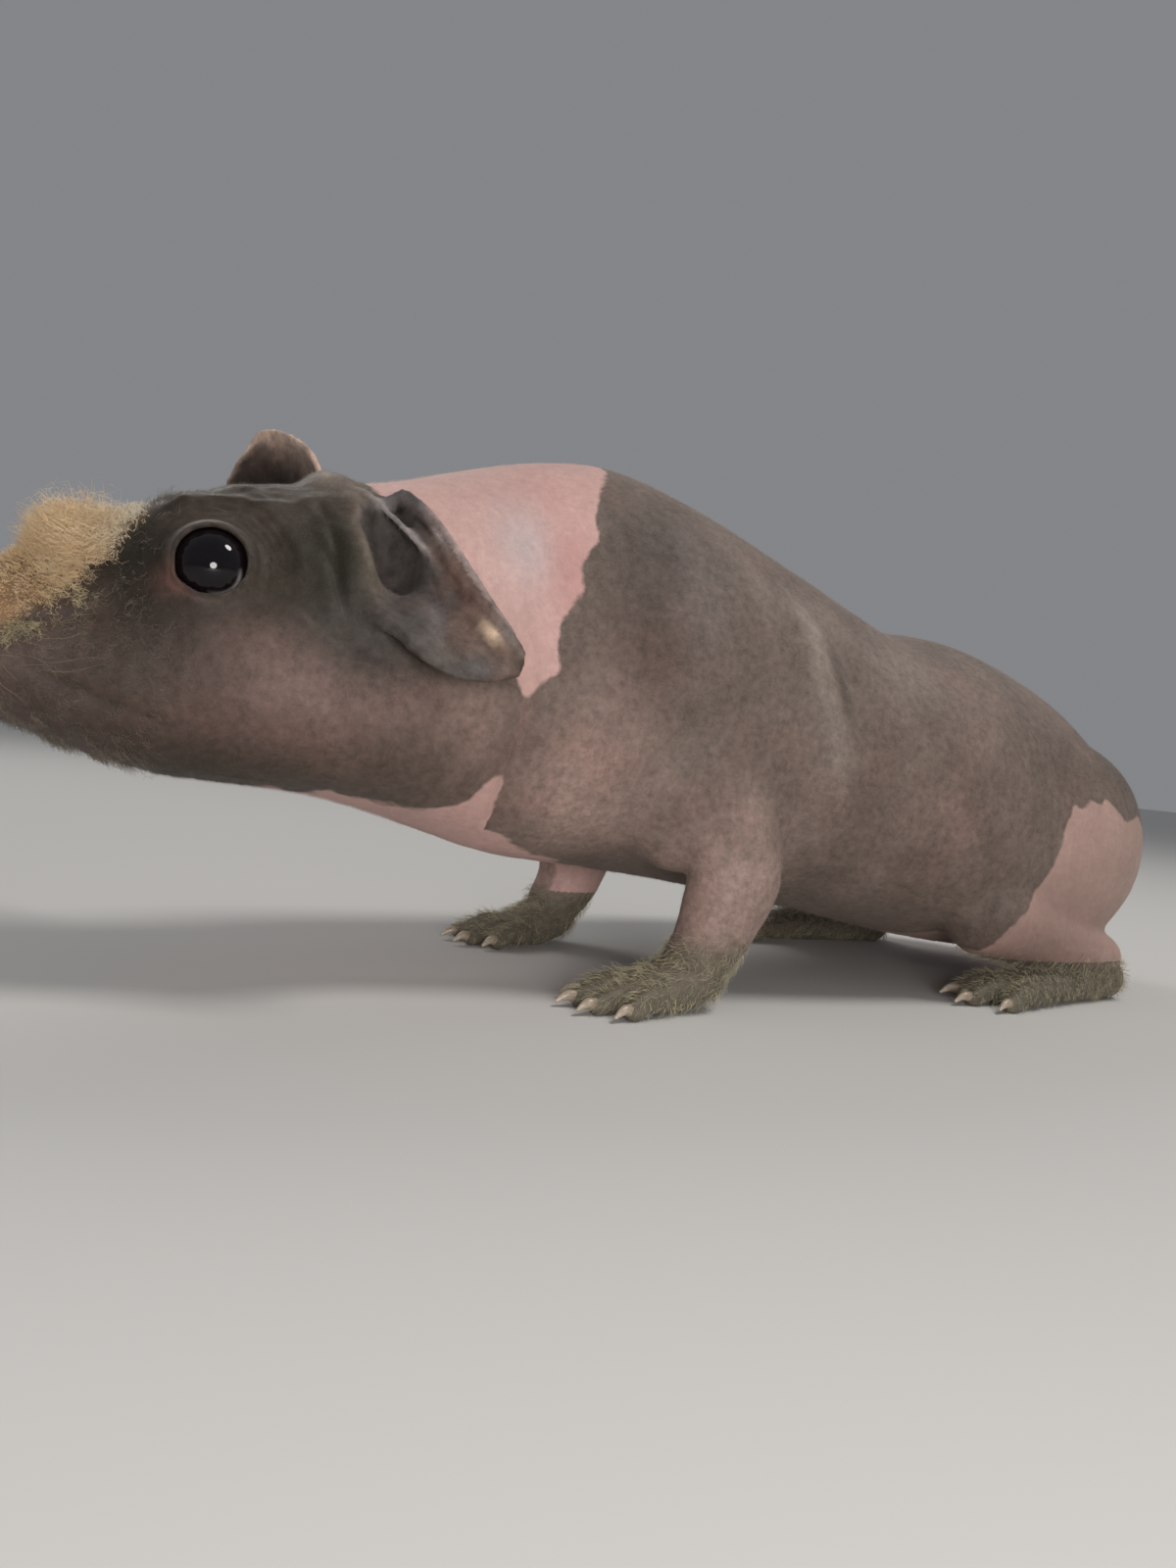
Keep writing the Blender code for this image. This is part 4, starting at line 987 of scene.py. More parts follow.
# Tints inside the ears' cups: place along the flap and across it from the lower edge, reach both ways, colour
# and strength
EAR_TINTS = {
    LEFT: [
        (0.66, 0.66, 0.17, 0.2, EAR_WARM, 0.8), (0.62, 0.34, 0.1, 0.13, EAR_WARM, 0.5),
        # OLIVE_GREY entries by the lower edge: olive skin, darkened as painted shade along the bottom
        (0.25, 0.06, 0.28, 0.24, OLIVE_GREY, 0.9), (0.4, 0.14, 0.12, 0.14, OLIVE_GREY, 0.6),
        (0.64, 0.03, 0.18, 0.1, OLIVE_GREY, 0.75), (0.47, 0.36, 0.07, 0.11, EAR_GREY, 0.8),
        (0.5, 0.2, 0.035, 0.05, EAR_GREY, 0.6), (0.57, 0.5, 0.04, 0.06, EAR_GREY, 0.5),
        (0.73, 0.12, 0.07, 0.07, EAR_GREY, 0.85), (0.8, 0.52, 0.055, 0.1, EAR_YELLOW, 1),
        (0.86, 0.42, 0.06, 0.12, EAR_WARM, 0.5), (0.9, 0.74, 0.07, 0.12, EAR_PALE, 0.35),
        # EAR_DARK_AND_SHADE entries paint shade in the hollow near the root
        (0.97, 0.35, 0.05, 0.25, OLIVE_SLATE, 0.6), (0.12, 0.5, 0.26, 0.3, EAR_DARK_AND_SHADE, 1),
        (0.33, 0.55, 0.14, 0.2, EAR_DARK_AND_SHADE, 0.95), (0.29, 0.62, 0.05, 0.06, EAR_BROWN, 0.45),
        (0.36, 0.5, 0.05, 0.05, EAR_GREY, 0.25), (0.16, 0.98, 0.3, 0.07, EAR_GREY, 1),
        (0.42, 0.96, 0.1, 0.05, EAR_GREY, 0.8), (0.53, 0.87, 0.05, 0.05, EAR_PALE, 0.8),
        # painted shade in the two slits
        (0.21, 0.87, 0.07, 0.03, EAR_SLIT_SHADE, 1), (0.39, 0.83, 0.08, 0.03, EAR_SLIT_SHADE, 1),
    ],
    RIGHT: [
        # the right ear's cup: dark skin painted near black as shade, with its brown middle left lighter where
        # light reaches it
        (0.5, 0.45, 0.6, 0.5, EAR_FAR, 1), (0.05, 0.5, 0.25, 0.6, EAR_FAR, 1),
        (0.72, 0.6, 0.12, 0.14, EAR_BROWN, 0.25), (0.55, 1.02, 0.6, 0.17, EAR_FAR_RIM, 1),
        (1, 0.5, 0.07, 0.6, EAR_FAR_RIM, 0.8),
    ],
}
RIM_FROM = {LEFT: 0.44, RIGHT: 0}  # where the pale line along the upper edge starts: a painted highlight on the left ear, paler hair on the right
# Lines along which the dark skin has another tint: points, reach, colour, strength on each side
TINT_LINES = [
    # RIDGE_HIGHLIGHT lines paint a highlight along the ear's raised front ridge and along its root
    (
        [(6.5, -76.3, 79.4), (13, -76.8, 75.5), (17.8, -76.9, 71), (20.5, -76.6, 66.2), (22.4, -76.2, 60)],
        1.5, RIDGE_HIGHLIGHT, 0.75, 0.7,
    ),
    ([(10.7, -87, 74.4), (9.9, -82.3, 76), (6.5, -77.5, 78.9)], 1, BROW_LINE, 0.7, 0.7),
    ([(3, -76, 80), (7, -75.5, 79), (11, -75, 77.5)], 2.2, RIDGE_HIGHLIGHT, 0.8, 0.7),
    # painted highlight along the crest between the ears
    ([(1, -80, 81.5), (5, -80, 81), (9, -79, 79)], 2.6, FOLD_HIGHLIGHT, 0.7, 0.5),
    # painted highlight along the raised fold behind the shoulder
    (
        [(27.5, -1, 73), (30.4, 1.7, 66.9), (33.7, 3.5, 57.4), (35.1, 7.1, 47.5), (35.1, 9.3, 38)],
        2.2, FOLD_HIGHLIGHT, 0.6, 0.5,
    ),
    # painted shade in the crease behind the fold
    ([(31, 5.5, 66), (34.5, 7.6, 57), (36, 11, 48)], 1.6, DARK_FLANK, 0.5, 0.4),
    ([(25, -49.4, 50), (25, -50.2, 44), (22.8, -50.8, 37)], 1.2, FOLD_ROSE, 0.6, 0.3),
]
# Tints inside the pale patches
PATCH_TINTS = [
    # painted highlight in the middle of the collar
    ((22, -50.5, 74), (9, 5.5, 8), COLLAR_HIGHLIGHT, 0.9, 0.6),
    ((23, -43.5, 70), (8, 3.6, 10), COLLAR_RED, 0.75, 0.5),
    ((12, -44, 84), (9, 6, 5), COLLAR_RED, 0.3, 0.3),
    ((34, 90, 26), (30, 44, 34), HIP_PINK, 1, 1),
    ((38, 64, 10), (22, 18, 12), ROSE_TAUPE, 0.95, 0.95),
]


def outline_distance(places, outline):
    """Signed distance in the side view to a closed outline, positive inside it."""
    away = np.full(len(places), 1e9)
    inside = np.zeros(len(places), bool)
    for a, b in zip(outline, np.roll(outline, -1, axis=0)):
        way = b - a
        t = ((places - a) @ way / max(way @ way, 1e-12)).clip(0.0, 1.0)
        away = np.minimum(away, np.linalg.norm(places - a - t[:, None] * way, axis=1))
        crosses = (a[1] > places[:, 1]) != (b[1] > places[:, 1])
        rise = b[1] - a[1] if b[1] != a[1] else 1e-12
        inside ^= crosses & (places[:, 0] < a[0] + (places[:, 1] - a[1]) * (b[0] - a[0]) / rise)
    return np.where(inside, away, -away).clip(-20.0, 20.0)


def rounded(outline):
    """The outline as a smooth closed curve through its points."""
    rows = [*outline[-2:], *outline, *outline[:2]]
    return smooth_rows(rows, np.linspace(2.0, len(rows) - 2.0, 3 * len(outline) + 1))[:-1]


def patch_depth(points):
    """How deep each point lies inside the nearest pale patch, negative outside."""
    x, y = points[:, 0], points[:, 1]
    wander = [noise(points, 3.2, seed) + 0.5 * noise(points, 1.3, seed + 2) for seed in (31, 32)]
    places = points[:, 1:3] + PATCH_WAVER * np.stack(wander, axis=1)
    blend = eased(np.clip(x / (2.0 * MIDLINE_BLEND) + 0.5, 0.0, 1.0))
    depth = np.full(len(points), -1e9)
    for name, outlines in PATCHES.items():
        on_left, on_right = (outline_distance(places, rounded(outline)) for outline in outlines)
        here = on_left * blend + on_right * (1.0 - blend)
        if name == "throat":
            under = BELLY_HALF_WIDTH - np.abs(x) - 12.0 * np.clip((-44.0 - y) / 6.0, -1.0, 0.0)
            here = np.where(y > -50.0, np.minimum(here, under), here)
        depth = np.maximum(depth, here)
    return depth


def blend_to(colour, share, target):
    return colour + (np.asarray(target) - colour) * share[:, None]


def tinted(points, start, tints):
    colour = np.tile(start, (len(points), 1))
    for centre, reach, tint, left, right in tints:
        for side, strength in ((LEFT, left), (RIGHT, right)):
            if strength and (side == LEFT or centre[0]):
                colour = blend_to(colour, strength * bump_at(points, mirrored(centre, side), reach), tint)
    return colour


def ear_colours(points, found):
    """Colours of the ears' skin: tints in their cups, with painted shade in the left hollow, slits and right
    cup, pale rims (a painted highlight on the left) and the fold.
    """
    along, across, in_cup = found["along_ear"], found["across_ear"], found["in_cup"]
    # painted shade: the left ear's hollow is painted dark
    colour = blend_to(np.tile(EAR_BROWN, (len(points), 1)), 0.9 * found["hollow"], EAR_DARK_AND_SHADE)
    for side in SIDES:
        here = found["ear_side"] == side
        inside = np.maximum(in_cup, across < 0.07) * here
        colour = blend_to(colour, 0.25 * (1.0 - in_cup) * here, EAR_DARK_AND_SHADE)
        for u, v, reach_u, reach_v, tint, strength in EAR_TINTS[side]:
            share = np.exp(-(((along - u) / reach_u) ** 2) - ((across - v) / reach_v) ** 2)
            colour = blend_to(colour, strength * share * inside, tint)
        # the pale line along the upper edge: a painted highlight on the left ear, paler hair on the right
        waver = RIM_WIDTH * (0.8 + 0.6 * along) * (1.0 + 0.35 * noise(points, 3.0, 51))
        edge = np.exp(-(((1.0 - across) / waver) ** 4)) * here
        edge *= np.clip((along - RIM_FROM[side]) / 0.08, 0.0, 1.0)
        edge *= np.clip((1.02 - along) / 0.14, 0.35, 1.0)
        colour = blend_to(colour, 0.9 * edge, EAR_RIM_HIGHLIGHT if side == LEFT else EAR_FAR_RIM)
    colour = blend_to(colour, found["ear_fold"], EAR_PALE)
    return colour * (1.0 + 0.28 * noise(points, 1.9, 61) + 0.2 * noise(points, 0.9, 62))[:, None]


def skin_colours(points, found):
    """Colour of the dark skin, colour of the pale skin and depth inside the pale patches, at each point."""
    dark = tinted(points, TAUPE, TINTS)
    for line, reach, tint, left, right in TINT_LINES:
        for side, strength in ((LEFT, left), (RIGHT, right)):
            away, share = line_distance(points, side_curve(line, side, 5), 2.5 * reach)
            ends = np.sin(np.pi * share.clip(0.05, 0.95)) ** 0.5
            near = strength * ends * np.exp(-((away / reach) ** 2)) * (away < 2.5 * reach)
            dark = blend_to(dark, near, tint)
    on_ear = np.maximum(found["ear"], np.maximum(found["hollow"], found["ear_fold"]))
    lid = np.tile(LID_GREY, (len(points), 1))
    # the lids' margin gets its painted highlight and its pink inner corner
    lid = blend_to(blend_to(lid, found["lid_highlight"], LID_HIGHLIGHT), found["canthus"], LID_PINK)
    for share, target in (
        (on_ear, ear_colours(points, found)),
        (found["lid"], lid),
        (0.27 * found["corner"], LID_PINK),
        (0.85 * found["foot"], FOOT_DARK),
        (0.8 * found["gold"] ** 2, GOLD_DARK),
    ):
        dark = blend_to(dark, share, target)
    depth = np.where((on_ear > 0.3) | (found["foot"] > 0.5), -12.0, patch_depth(points))
    return dark, tinted(points, COLLAR_PINK, PATCH_TINTS), depth


def features(points):
    """Where the special places of the skin are: lids, inner corners, feet, ears and the golden nose."""
    names = ("lid", "lid_highlight", "canthus", "corner", "foot", "hollow")
    found = {name: np.zeros(len(points)) for name in names}
    found.update(ear_places(points))

    def keep(name, share):
        found[name] = np.maximum(found[name], share)

    for side, label in SIDES.items():
        line = lid_margin_line(side)
        away, share = line_distance(points, line + line[:1], 4.0)
        angle, near = share * 2.0 * math.pi, away < 4.0
        keep("lid", np.exp(-((away / 0.6) ** 2)))
        # painted highlight on the lids' margin
        for middle, width in LID_HIGHLIGHT_PLACES:
            keep("lid_highlight", np.exp(-((turned_from(angle, middle) / width) ** 2)) * near)
        keep("canthus", np.exp(-(((angle - CANTHUS_AT) / 0.5) ** 2)) * near)
        corner = line[round(len(line) * CANTHUS_AT / (2.0 * math.pi)) % len(line)]
        keep("corner", bump_at(points, corner, (3.0, 3.4, 2.6)))
        for kind in LEGS:
            node = f"foot_{kind}_{label}"
            fade = np.clip((node_box(node)[1][2] + 1.0 - points[:, 2]) / 4.0, 0.0, 1.0)
            keep("foot", near_node(points, node) * fade)
    size = hollow_size(points) + 0.15 * noise(points, 2.2, 52)
    found["hollow"] = np.clip((1.4 - size) / 0.45, 0.0, 1.0)
    away, share = line_distance(points, EAR_FOLD, 5.0)
    fade = np.clip((1.0 - share) / 0.35, 0.15, 1.0)
    found["ear_fold"] = 0.9 * fade * np.exp(-((away / 0.9) ** 4))
    found["gold"] = tuft_share(points)
    return found


# Height of the tuft's lower border, and length of its hair, at places along the nose
TUFT_BORDER = ((-133, -126, -121, -116, -112, -108, -104.5), (46.5, 48.5, 52, 56.5, 61, 66.3, 71.3))
TUFT_PROFILE = (
    (-133, -125, -122.5, -119.5, -116, -113, -110.8, -108.5, -106, -103),
    (1.3, 1.3, 1.5, 2.6, 6.8, 10.6, 6.2, 2.8, 1.5, 0.8),
)
TUFT_HALF_WIDTH = 13.0


def tuft_share(points):
    """How much of the golden tuft grows at each point, from 0 to 1, thinning out below its border."""
    y = points[:, 1]
    below = np.interp(y, *TUFT_BORDER) - points[:, 2] + 1.2 * noise(points, 2.4, 41)
    return np.clip(0.5 - below / 3.0, 0.0, 1.0) * np.clip((-103.5 - y) / 3.0, 0.0, 1.0) * (y > NOSE_END)


def tuft_height(points):
    """Length of the tuft's hair at each point, longest on the crest and in the middle."""
    out = (np.abs(points[:, 0]) / TUFT_HALF_WIDTH).clip(0.0, 1.0)
    return np.interp(points[:, 1], *TUFT_PROFILE) * (1.0 - 0.35 * out**2)


# The skin


def even_tube(points, radii):
    return tube_form(points, [(r, r) for r in radii], 18)


def make_skin():
    """One surface over head, body, ears, legs and feet, and the tree of the body's faces."""
    body = body_form()
    body_tree = tree_of(body)
    body_part, ear_part, limb_part = [body], [], []
    for side in SIDES:
        body_part.append(eye_ball(side, EYE_RADIUS + LID_THICK, 64, 44))
        ear_part.append(ear_form(side))
        if side == LEFT:
            ear_part.append(even_tube(EAR_WEB, EAR_WEB_RADII))
        for kind in LEGS:
            limb_part += upper_leg(kind, side)
            limb_part.append(tube_form(*leg_line(kind, "sole", side)))
            for line in toe_lines(kind, side):
                limb_part += toe_forms(line)
    skin = fused("skin", [*body_part, *ear_part, *limb_part])
    carve(skin, skin_cutters(body_tree))
    margins = [ring_tube(lid_margin_line(side), LID_MARGIN) for side in SIDES]
    cut = skin.data
    bpy.data.objects.remove(skin)
    skin = fused("skin", [cut, *margins, even_tube(EAR_FOLD, EAR_FOLD_RADII)])
    modify(skin, "REMESH", mode="VOXEL", voxel_size=VOXEL)
    modify(skin, "SMOOTH", factor=0.5, iterations=SKIN_SMOOTHING)
    apply_modifiers(skin)
    return skin, body_tree


def soften_joins(skin, body_tree):
    """Smooths the skin where limbs meet the body, round the eyes, and at the left ear's hollow and edges."""
    points = points_of(skin.data)
    y, z = points[:, 1], points[:, 2]
    limb_tree = tree_of(*(mesh for side in SIDES for kind in LEGS for mesh in upper_leg(kind, side)))
    weights = np.zeros(len(points))
    for index in np.nonzero((y > LIMBS_FROM) & (z > LIMB_HEIGHTS[0]) & (z < LIMB_HEIGHTS[1]))[0]:
        near = [tree.find_nearest(Vector(points[index]), JOIN_SEARCH)[3] for tree in (limb_tree, body_tree)]
        if None not in near:
            weights[index] = max(0.0, 1.0 - max(near) / JOIN_REACH)
    away = eye_distance(points)
    wall = 1.0 - np.abs(hollow_size(points) - 1.1) / 0.4
    clear = np.clip(line_distance(points, EAR_FOLD, 4.0)[0] - 1.6, 0.0, 1.0)
    web = line_distance(points, EAR_WEB[:3], 4.0)[0]
    zones = [
        EYE_ZONE_SOFT * np.clip((away - 6.75) / 0.8, 0.0, 1.0) * np.clip((11.5 - away) / 2.5, 0.0, 1.0),
        HOLLOW_SOFT * np.clip(1.4 * wall, 0.0, 1.0) * clear,
        WEB_SOFT * np.clip((3.6 - web) / 1.2, 0.0, 1.0),
        *(CORNER_SOFT * bump_at(points, corner, (3.0, 3.0, 3.0)) for corner in EAR_CORNERS),
    ]
    weights = np.max([weights, *zones], axis=0)
    group = skin.vertex_groups.new(name="joins")
    for level in range(1, 11):
        chosen = np.nonzero(np.round(weights * 10.0) == level)[0]
        if len(chosen):
            group.add(chosen.tolist(), level / 10.0, "REPLACE")
    modify(skin, "SMOOTH", factor=0.5, iterations=JOIN_SMOOTHING, vertex_group=group.name)
    apply_modifiers(skin)
    skin.vertex_groups.clear()


def sculpt(skin):
    """Raises the folds, wrinkles and unevenness on the skin, and keeps it clear of the eyes and the floor."""
    mesh = skin.data
    points, normals = points_of(mesh), normals_of(mesh)
    rise = fold_rise(points, tree_of(mesh)) + eye_rise(points) + skin_noise_rise(points, normals)
    rise *= 1.0 - np.clip((7.6 - eye_distance(points)) / 0.8, 0.0, 1.0)
    rise *= 1.0 - 0.8 * ear_places(points)["ear"]
    points = points + normals * rise[:, None]
    for side in SIDES:
        ways, away = from_eye(points, side)
        inside = away < EYE_RADIUS + EYE_GAP
        points[inside] += ways[inside] * ((EYE_RADIUS + EYE_GAP) / away[inside] - 1.0)[:, None]
    points[:, 2] = np.maximum(points[:, 2], FLOOR_SKIN)
    set_points(mesh, points)
    return points


def store_float(mesh, name, values):
    layer = mesh.attributes.new(name, "FLOAT", "POINT")
    layer.data.foreach_set("value", np.ascontiguousarray(values, np.float32))


def store_colour(mesh, name, colours):
    layer = mesh.attributes.new(name, "FLOAT_COLOR", "POINT")
    rgba = np.ones((len(colours), 4), np.float32)
    rgba[:, :3] = np.clip(colours, 0.0, 1.0)
    layer.data.foreach_set("color", rgba.ravel())


def triangle_table(mesh):
    """Corners of the skin's triangles."""
    mesh.calc_loop_triangles()
    corners = np.empty(len(mesh.loop_triangles) * 3, np.int32)
    mesh.loop_triangles.foreach_get("vertices", corners)
    return corners.reshape(-1, 3)


def paint_skin(skin, points):
    """Stores the colours and the depth inside the pale patches, and returns what the coat needs."""
    found = features(points)
    dark, pale, depth = skin_colours(points, found)
    store_colour(skin.data, "dark_tint", dark)
    store_colour(skin.data, "pale_tint", pale)
    store_float(skin.data, "patch_depth", depth)
    found.update(points=points, normals=normals_of(skin.data), corners=triangle_table(skin.data))
    found["pale_share"] = np.clip(depth * 2.0 + 0.5, 0.0, 1.0)
    found["tint"] = blend_to(dark, found["pale_share"], pale)
    return found


def finish_piece(obj, material, node_names=()):
    """Sets the piece to metres in the frame, gives it its finish, and lets it ride on the body."""
    obj.data.transform(Matrix.Translation(Vector(SHIFT) * MM) @ Matrix.Scale(MM, 4))
    obj.data.materials.clear()
    obj.data.materials.append(material)
    obj.data.shade_smooth()
    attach(obj, "root")
    if node_names:
        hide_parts(*node_names)


# Materials

RUDDY = (1.45, 1.02, 0.96, 1.0)  # what the reddest areas of the skin are multiplied by
SKIN_SHEEN = (0.95, 0.86, 0.76, 1.0)
HAIR_SHEEN = (0.95, 0.90, 0.82, 1.0)
PUPIL = (0.0035, 0.0025, 0.0035, 1.0)
IRIS = (0.007, 0.004, 0.005, 1.0)
# colour of the pale arc painted near the edge of the iris
PALE_ARC_COLOUR = (0.24, 0.225, 0.22, 1.0)
HORN_TIP = (0.50, 0.42, 0.33, 1.0)


class Nodes:
    """Short calls for building a material's nodes."""

    def __init__(self, name):
        self.material = bpy.data.materials.new(name)
        self.material.use_nodes = True
        self.tree = self.material.node_tree

    def put(self, socket, value):
        if isinstance(value, bpy.types.NodeSocket):
            self.tree.links.new(value, socket)
        else:
            socket.default_value = value

    def add(self, kind, inputs, output=0, **settings):
        node = self.tree.nodes.new(kind)
        for key, value in settings.items():
            setattr(node, key, value)
        for socket, value in inputs.items():
            self.put(node.inputs[socket], value)
        return node.outputs[output]

    def attribute(self, name, output="Color"):
        return self.add("ShaderNodeAttribute", {}, output, attribute_name=name)

    def place(self):
        return self.add("ShaderNodeTexCoord", {}, "Object")

    def noise(self, scale, detail=3.0, roughness=0.55):
        inputs = {"Vector": self.place(), "Scale": scale, "Detail": detail, "Roughness": roughness}
        return self.add("ShaderNodeTexNoise", inputs, "Fac")

    def cells(self, scale):
        inputs = {"Vector": self.place(), "Scale": scale}
        return self.add("ShaderNodeTexVoronoi", inputs, "Distance", feature="DISTANCE_TO_EDGE")

    def math(self, operation, a, b):
        return self.add("ShaderNodeMath", {0: a, 1: b}, operation=operation)

    def range(self, value, low, high, to_low=0.0, to_high=1.0):
        inputs = {"Value": value, "From Min": low, "From Max": high, "To Min": to_low, "To Max": to_high}
        return self.add("ShaderNodeMapRange", inputs)

    def mix(self, share, a, b, blend="MIX"):
        return self.add("ShaderNodeMix", {0: share, 6: a, 7: b}, 2, data_type="RGBA", blend_type=blend)

    def shaded(self, base, value):
        """The colour times the value."""
        grey = self.add("ShaderNodeCombineColor", {0: value, 1: value, 2: value})
        return self.mix(1.0, base, grey, "MULTIPLY")

    def bump(self, height, distance, strength, **normal):
        inputs = {"Height": height, "Distance": distance, "Strength": strength}
        return self.add("ShaderNodeBump", {**inputs, **normal})

    def set(self, **values):
        for key, value in values.items():
            self.put(self.tree.nodes["Principled BSDF"].inputs[key.replace("_", " ")], value)


def skin_material():
    """Bare skin: mottled colour, crisp wandering edges to the pale patches, fine wrinkles and pores."""
    n = Nodes("bare_skin")
    wander = n.math("MULTIPLY", n.math("SUBTRACT", n.noise(420.0, 4.0, 0.65), 0.5), 1.2)
    share = n.range(n.math("ADD", n.attribute("patch_depth", "Fac"), wander), -0.25, 0.35)
    base = n.mix(share, n.attribute("dark_tint"), n.attribute("pale_tint"))
    cloud = n.range(n.noise(75.0, 4.0, 0.6), 0.3, 0.7, 0.78, 1.22)
    speck = n.range(n.noise(700.0, 4.0, 0.7), 0.25, 0.75, 0.64, 1.36)
    even = n.math("MULTIPLY", share, 0.65)
    shade = n.add("ShaderNodeMix", {0: even, 2: n.math("MULTIPLY", cloud, speck), 3: 1.0}, data_type="FLOAT")
    base = n.shaded(base, shade)
    ruddy = n.range(n.noise(55.0, 3.0), 0.48, 0.72, 0.0, 0.22)
    ruddy = n.math("MULTIPLY", ruddy, n.math("SUBTRACT", 1.0, even))
    base = n.mix(ruddy, base, n.mix(1.0, base, RUDDY, "MULTIPLY"))
    furrows = n.bump(n.range(n.cells(1500.0), 0.0, 0.16), 0.00003, 0.55)
    pores = n.bump(n.noise(2600.0, 3.0, 0.7), 0.00005, 0.6, Normal=furrows)
    wrinkles = n.bump(n.noise(420.0, 4.0, 0.6), 0.00022, 0.5, Normal=pores)
    rough = n.range(n.noise(500.0, 3.0), 0.3, 0.7, 0.50, 0.66)
    n.set(Base_Color=base, Roughness=rough, Normal=wrinkles, Specular_IOR_Level=0.22)
    n.set(Subsurface_Weight=0.10, Subsurface_Radius=(1.0, 0.35, 0.2), Subsurface_Scale=0.0012)
    n.set(Sheen_Weight=0.06, Sheen_Roughness=0.45, Sheen_Tint=SKIN_SHEEN)
    return n.material


def hair_material(name, roughness, sheen):
    """Hair: the root's colour, paler towards the tip, each strand a little different."""
    n = Nodes(name)
    base = n.mix(n.attribute("along", "Fac"), n.attribute("root_tint"), n.attribute("tip_tint"))
    n.set(Base_Color=base, Roughness=roughness)
    n.set(Sheen_Weight=sheen, Sheen_Roughness=0.4, Sheen_Tint=HAIR_SHEEN)
    return n.material


def eye_material():
    """A dark eye with a faint brown iris and a pale arc painted near the edge of the iris."""
    n = Nodes("wet_eye")
    iris = n.mix(n.range(n.attribute("off_axis", "Fac"), 0.45, 0.9), PUPIL, IRIS)
    iris = n.shaded(iris, n.range(n.noise(1400.0, 3.0), 0.3, 0.7, 0.7, 1.3))
    n.set(Base_Color=n.mix(n.attribute("pale_arc", "Fac"), iris, PALE_ARC_COLOUR), Roughness=0.03, IOR=1.38)
    return n.material


def claw_material():
    n = Nodes("claw_horn")
    base = n.mix(n.attribute("along", "Fac"), (*HORN, 1.0), HORN_TIP)
    base = n.shaded(base, n.range(n.noise(1500.0, 2.0), 0.3, 0.7, 0.75, 1.15))
    n.set(Base_Color=base, Roughness=0.34, Coat_Weight=0.2, Coat_Roughness=0.2)
    n.set(Normal=n.bump(n.noise(2500.0, 2.0), 0.00003, 0.4))
    n.set(Subsurface_Weight=0.15, Subsurface_Radius=(1.0, 0.6, 0.4), Subsurface_Scale=0.0008)
    return n.material


# Eyes and claws


def make_eye(side, material):
    """A ball with a slightly bulging front, and how far each point is turned from the gaze."""
    mesh = round_form((0.0, 0.0, 0.0), (1.0, 1.0, 1.0), segments=120, rings=84)
    points = points_of(mesh)
    turned = np.arccos(points[:, 2].clip(-1.0, 1.0))
    bulge = EYE_BULGE * np.exp(-((turned / BULGE_ANGLE) ** 4))
    set_points(mesh, points * (EYE_RADIUS * (1.0 + bulge))[:, None])
    mesh.transform(eye_frame(side))
    mesh.update()
    ways = unit(from_eye(points_of(mesh), side)[0])
    middle = unit(np.array(mirrored(ARC_AXIS, side)))
    off = np.arccos((ways @ middle).clip(-1.0, 1.0))
    round_at = np.arctan2(ways[:, 2] - middle[2] * np.cos(off), ways[:, 1] - middle[1] * np.cos(off))
    window = np.clip((round_at + 1.95) / 0.9, 0.0, 1.0) * np.clip((0.35 - round_at) / 0.5, 0.0, 1.0)
    store_float(mesh, "pale_arc", window * np.exp(-(((off - ARC_ANGLE) / ARC_THICK) ** 2)))
    store_float(mesh, "off_axis", turned)
    if side == RIGHT:
        mesh.flip_normals()
    finish_piece(place(f"eyeball_{SIDES[side]}", mesh), material, [f"eye_{SIDES[side]}"])


def make_claw(kind, side, k, line, material):
    """A curved claw, flattened from the sides and pale towards its tip."""
    ahead = line[-1] - line[-2]
    ahead.z = 0.0
    ahead.normalize()
    reach = LEGS[kind]["claw"]
    path = [line[-1] + ahead * along * reach + Vector((0.0, 0.0, rise)) for along, rise in CLAW_LINE]
    mesh = tube_form(path, CLAW_RADII, sides=20)
    run = (points_of(mesh) - np.array(path[0])) @ np.array(ahead)
    store_float(mesh, "along", (run / run.max()).clip(0.0, 1.0))
    label = f"{kind}_{SIDES[side]}_{k + 1}"
    finish_piece(place(f"nail_{label}", mesh), material, [f"claw_{label}"])


# Coat. Lengths and widths of hair are in millimetres too.

PIECE_LIMIT = 190000  # triangles in one piece of the coat
ROOT_DEPTH = 0.25  # how far the hairs start below the skin
FLOOR_GAP = 0.12  # how far above the floor the hairs stay
FUZZ_WIDTH = 0.042
FUZZ_TIP = (0.3, 0.25, 0.205)
HEAD_FUZZ_TIP = (0.112, 0.09, 0.06)
FUZZ_PINK_TIP = (0.72, 0.53, 0.47)
# Darkest and palest tips of the other hair
WISP_TIPS = ((0.42, 0.34, 0.19), (0.76, 0.64, 0.38))
MUZZLE_TIPS = ((0.05, 0.038, 0.028), (0.32, 0.26, 0.19))
FOOT_TIPS = ((0.31, 0.28, 0.175), (0.76, 0.66, 0.43))
WHISKER = (0.30, 0.24, 0.18)
WHISKER_WIDTH = 0.10
WHISKER_LENGTHS = (8.0, 15.0)
BODY_FUZZ_COUNT = 95000
HEAD_FUZZ_COUNT = 42000
EAR_FUZZ_COUNT = 6000
TUFT_COUNT = 9000
WISP_COUNT = 1500
MUZZLE_COUNT = 4500
FOOT_COUNT = 9500
# The coat's UV map is wound round a line along the body
UNWRAP_HEIGHT = 44.0
UNWRAP_FROM = -140.0
UNWRAP_LENGTH = 275.0
UV_MARGIN = 0.01
UV_SPOT = 0.003  # size of one hair on the map
MOUTH_LINE = ((-7.0, -124.0, 39.3), (0.0, -131.0, 43.6), (7.0, -124.0, 39.3))


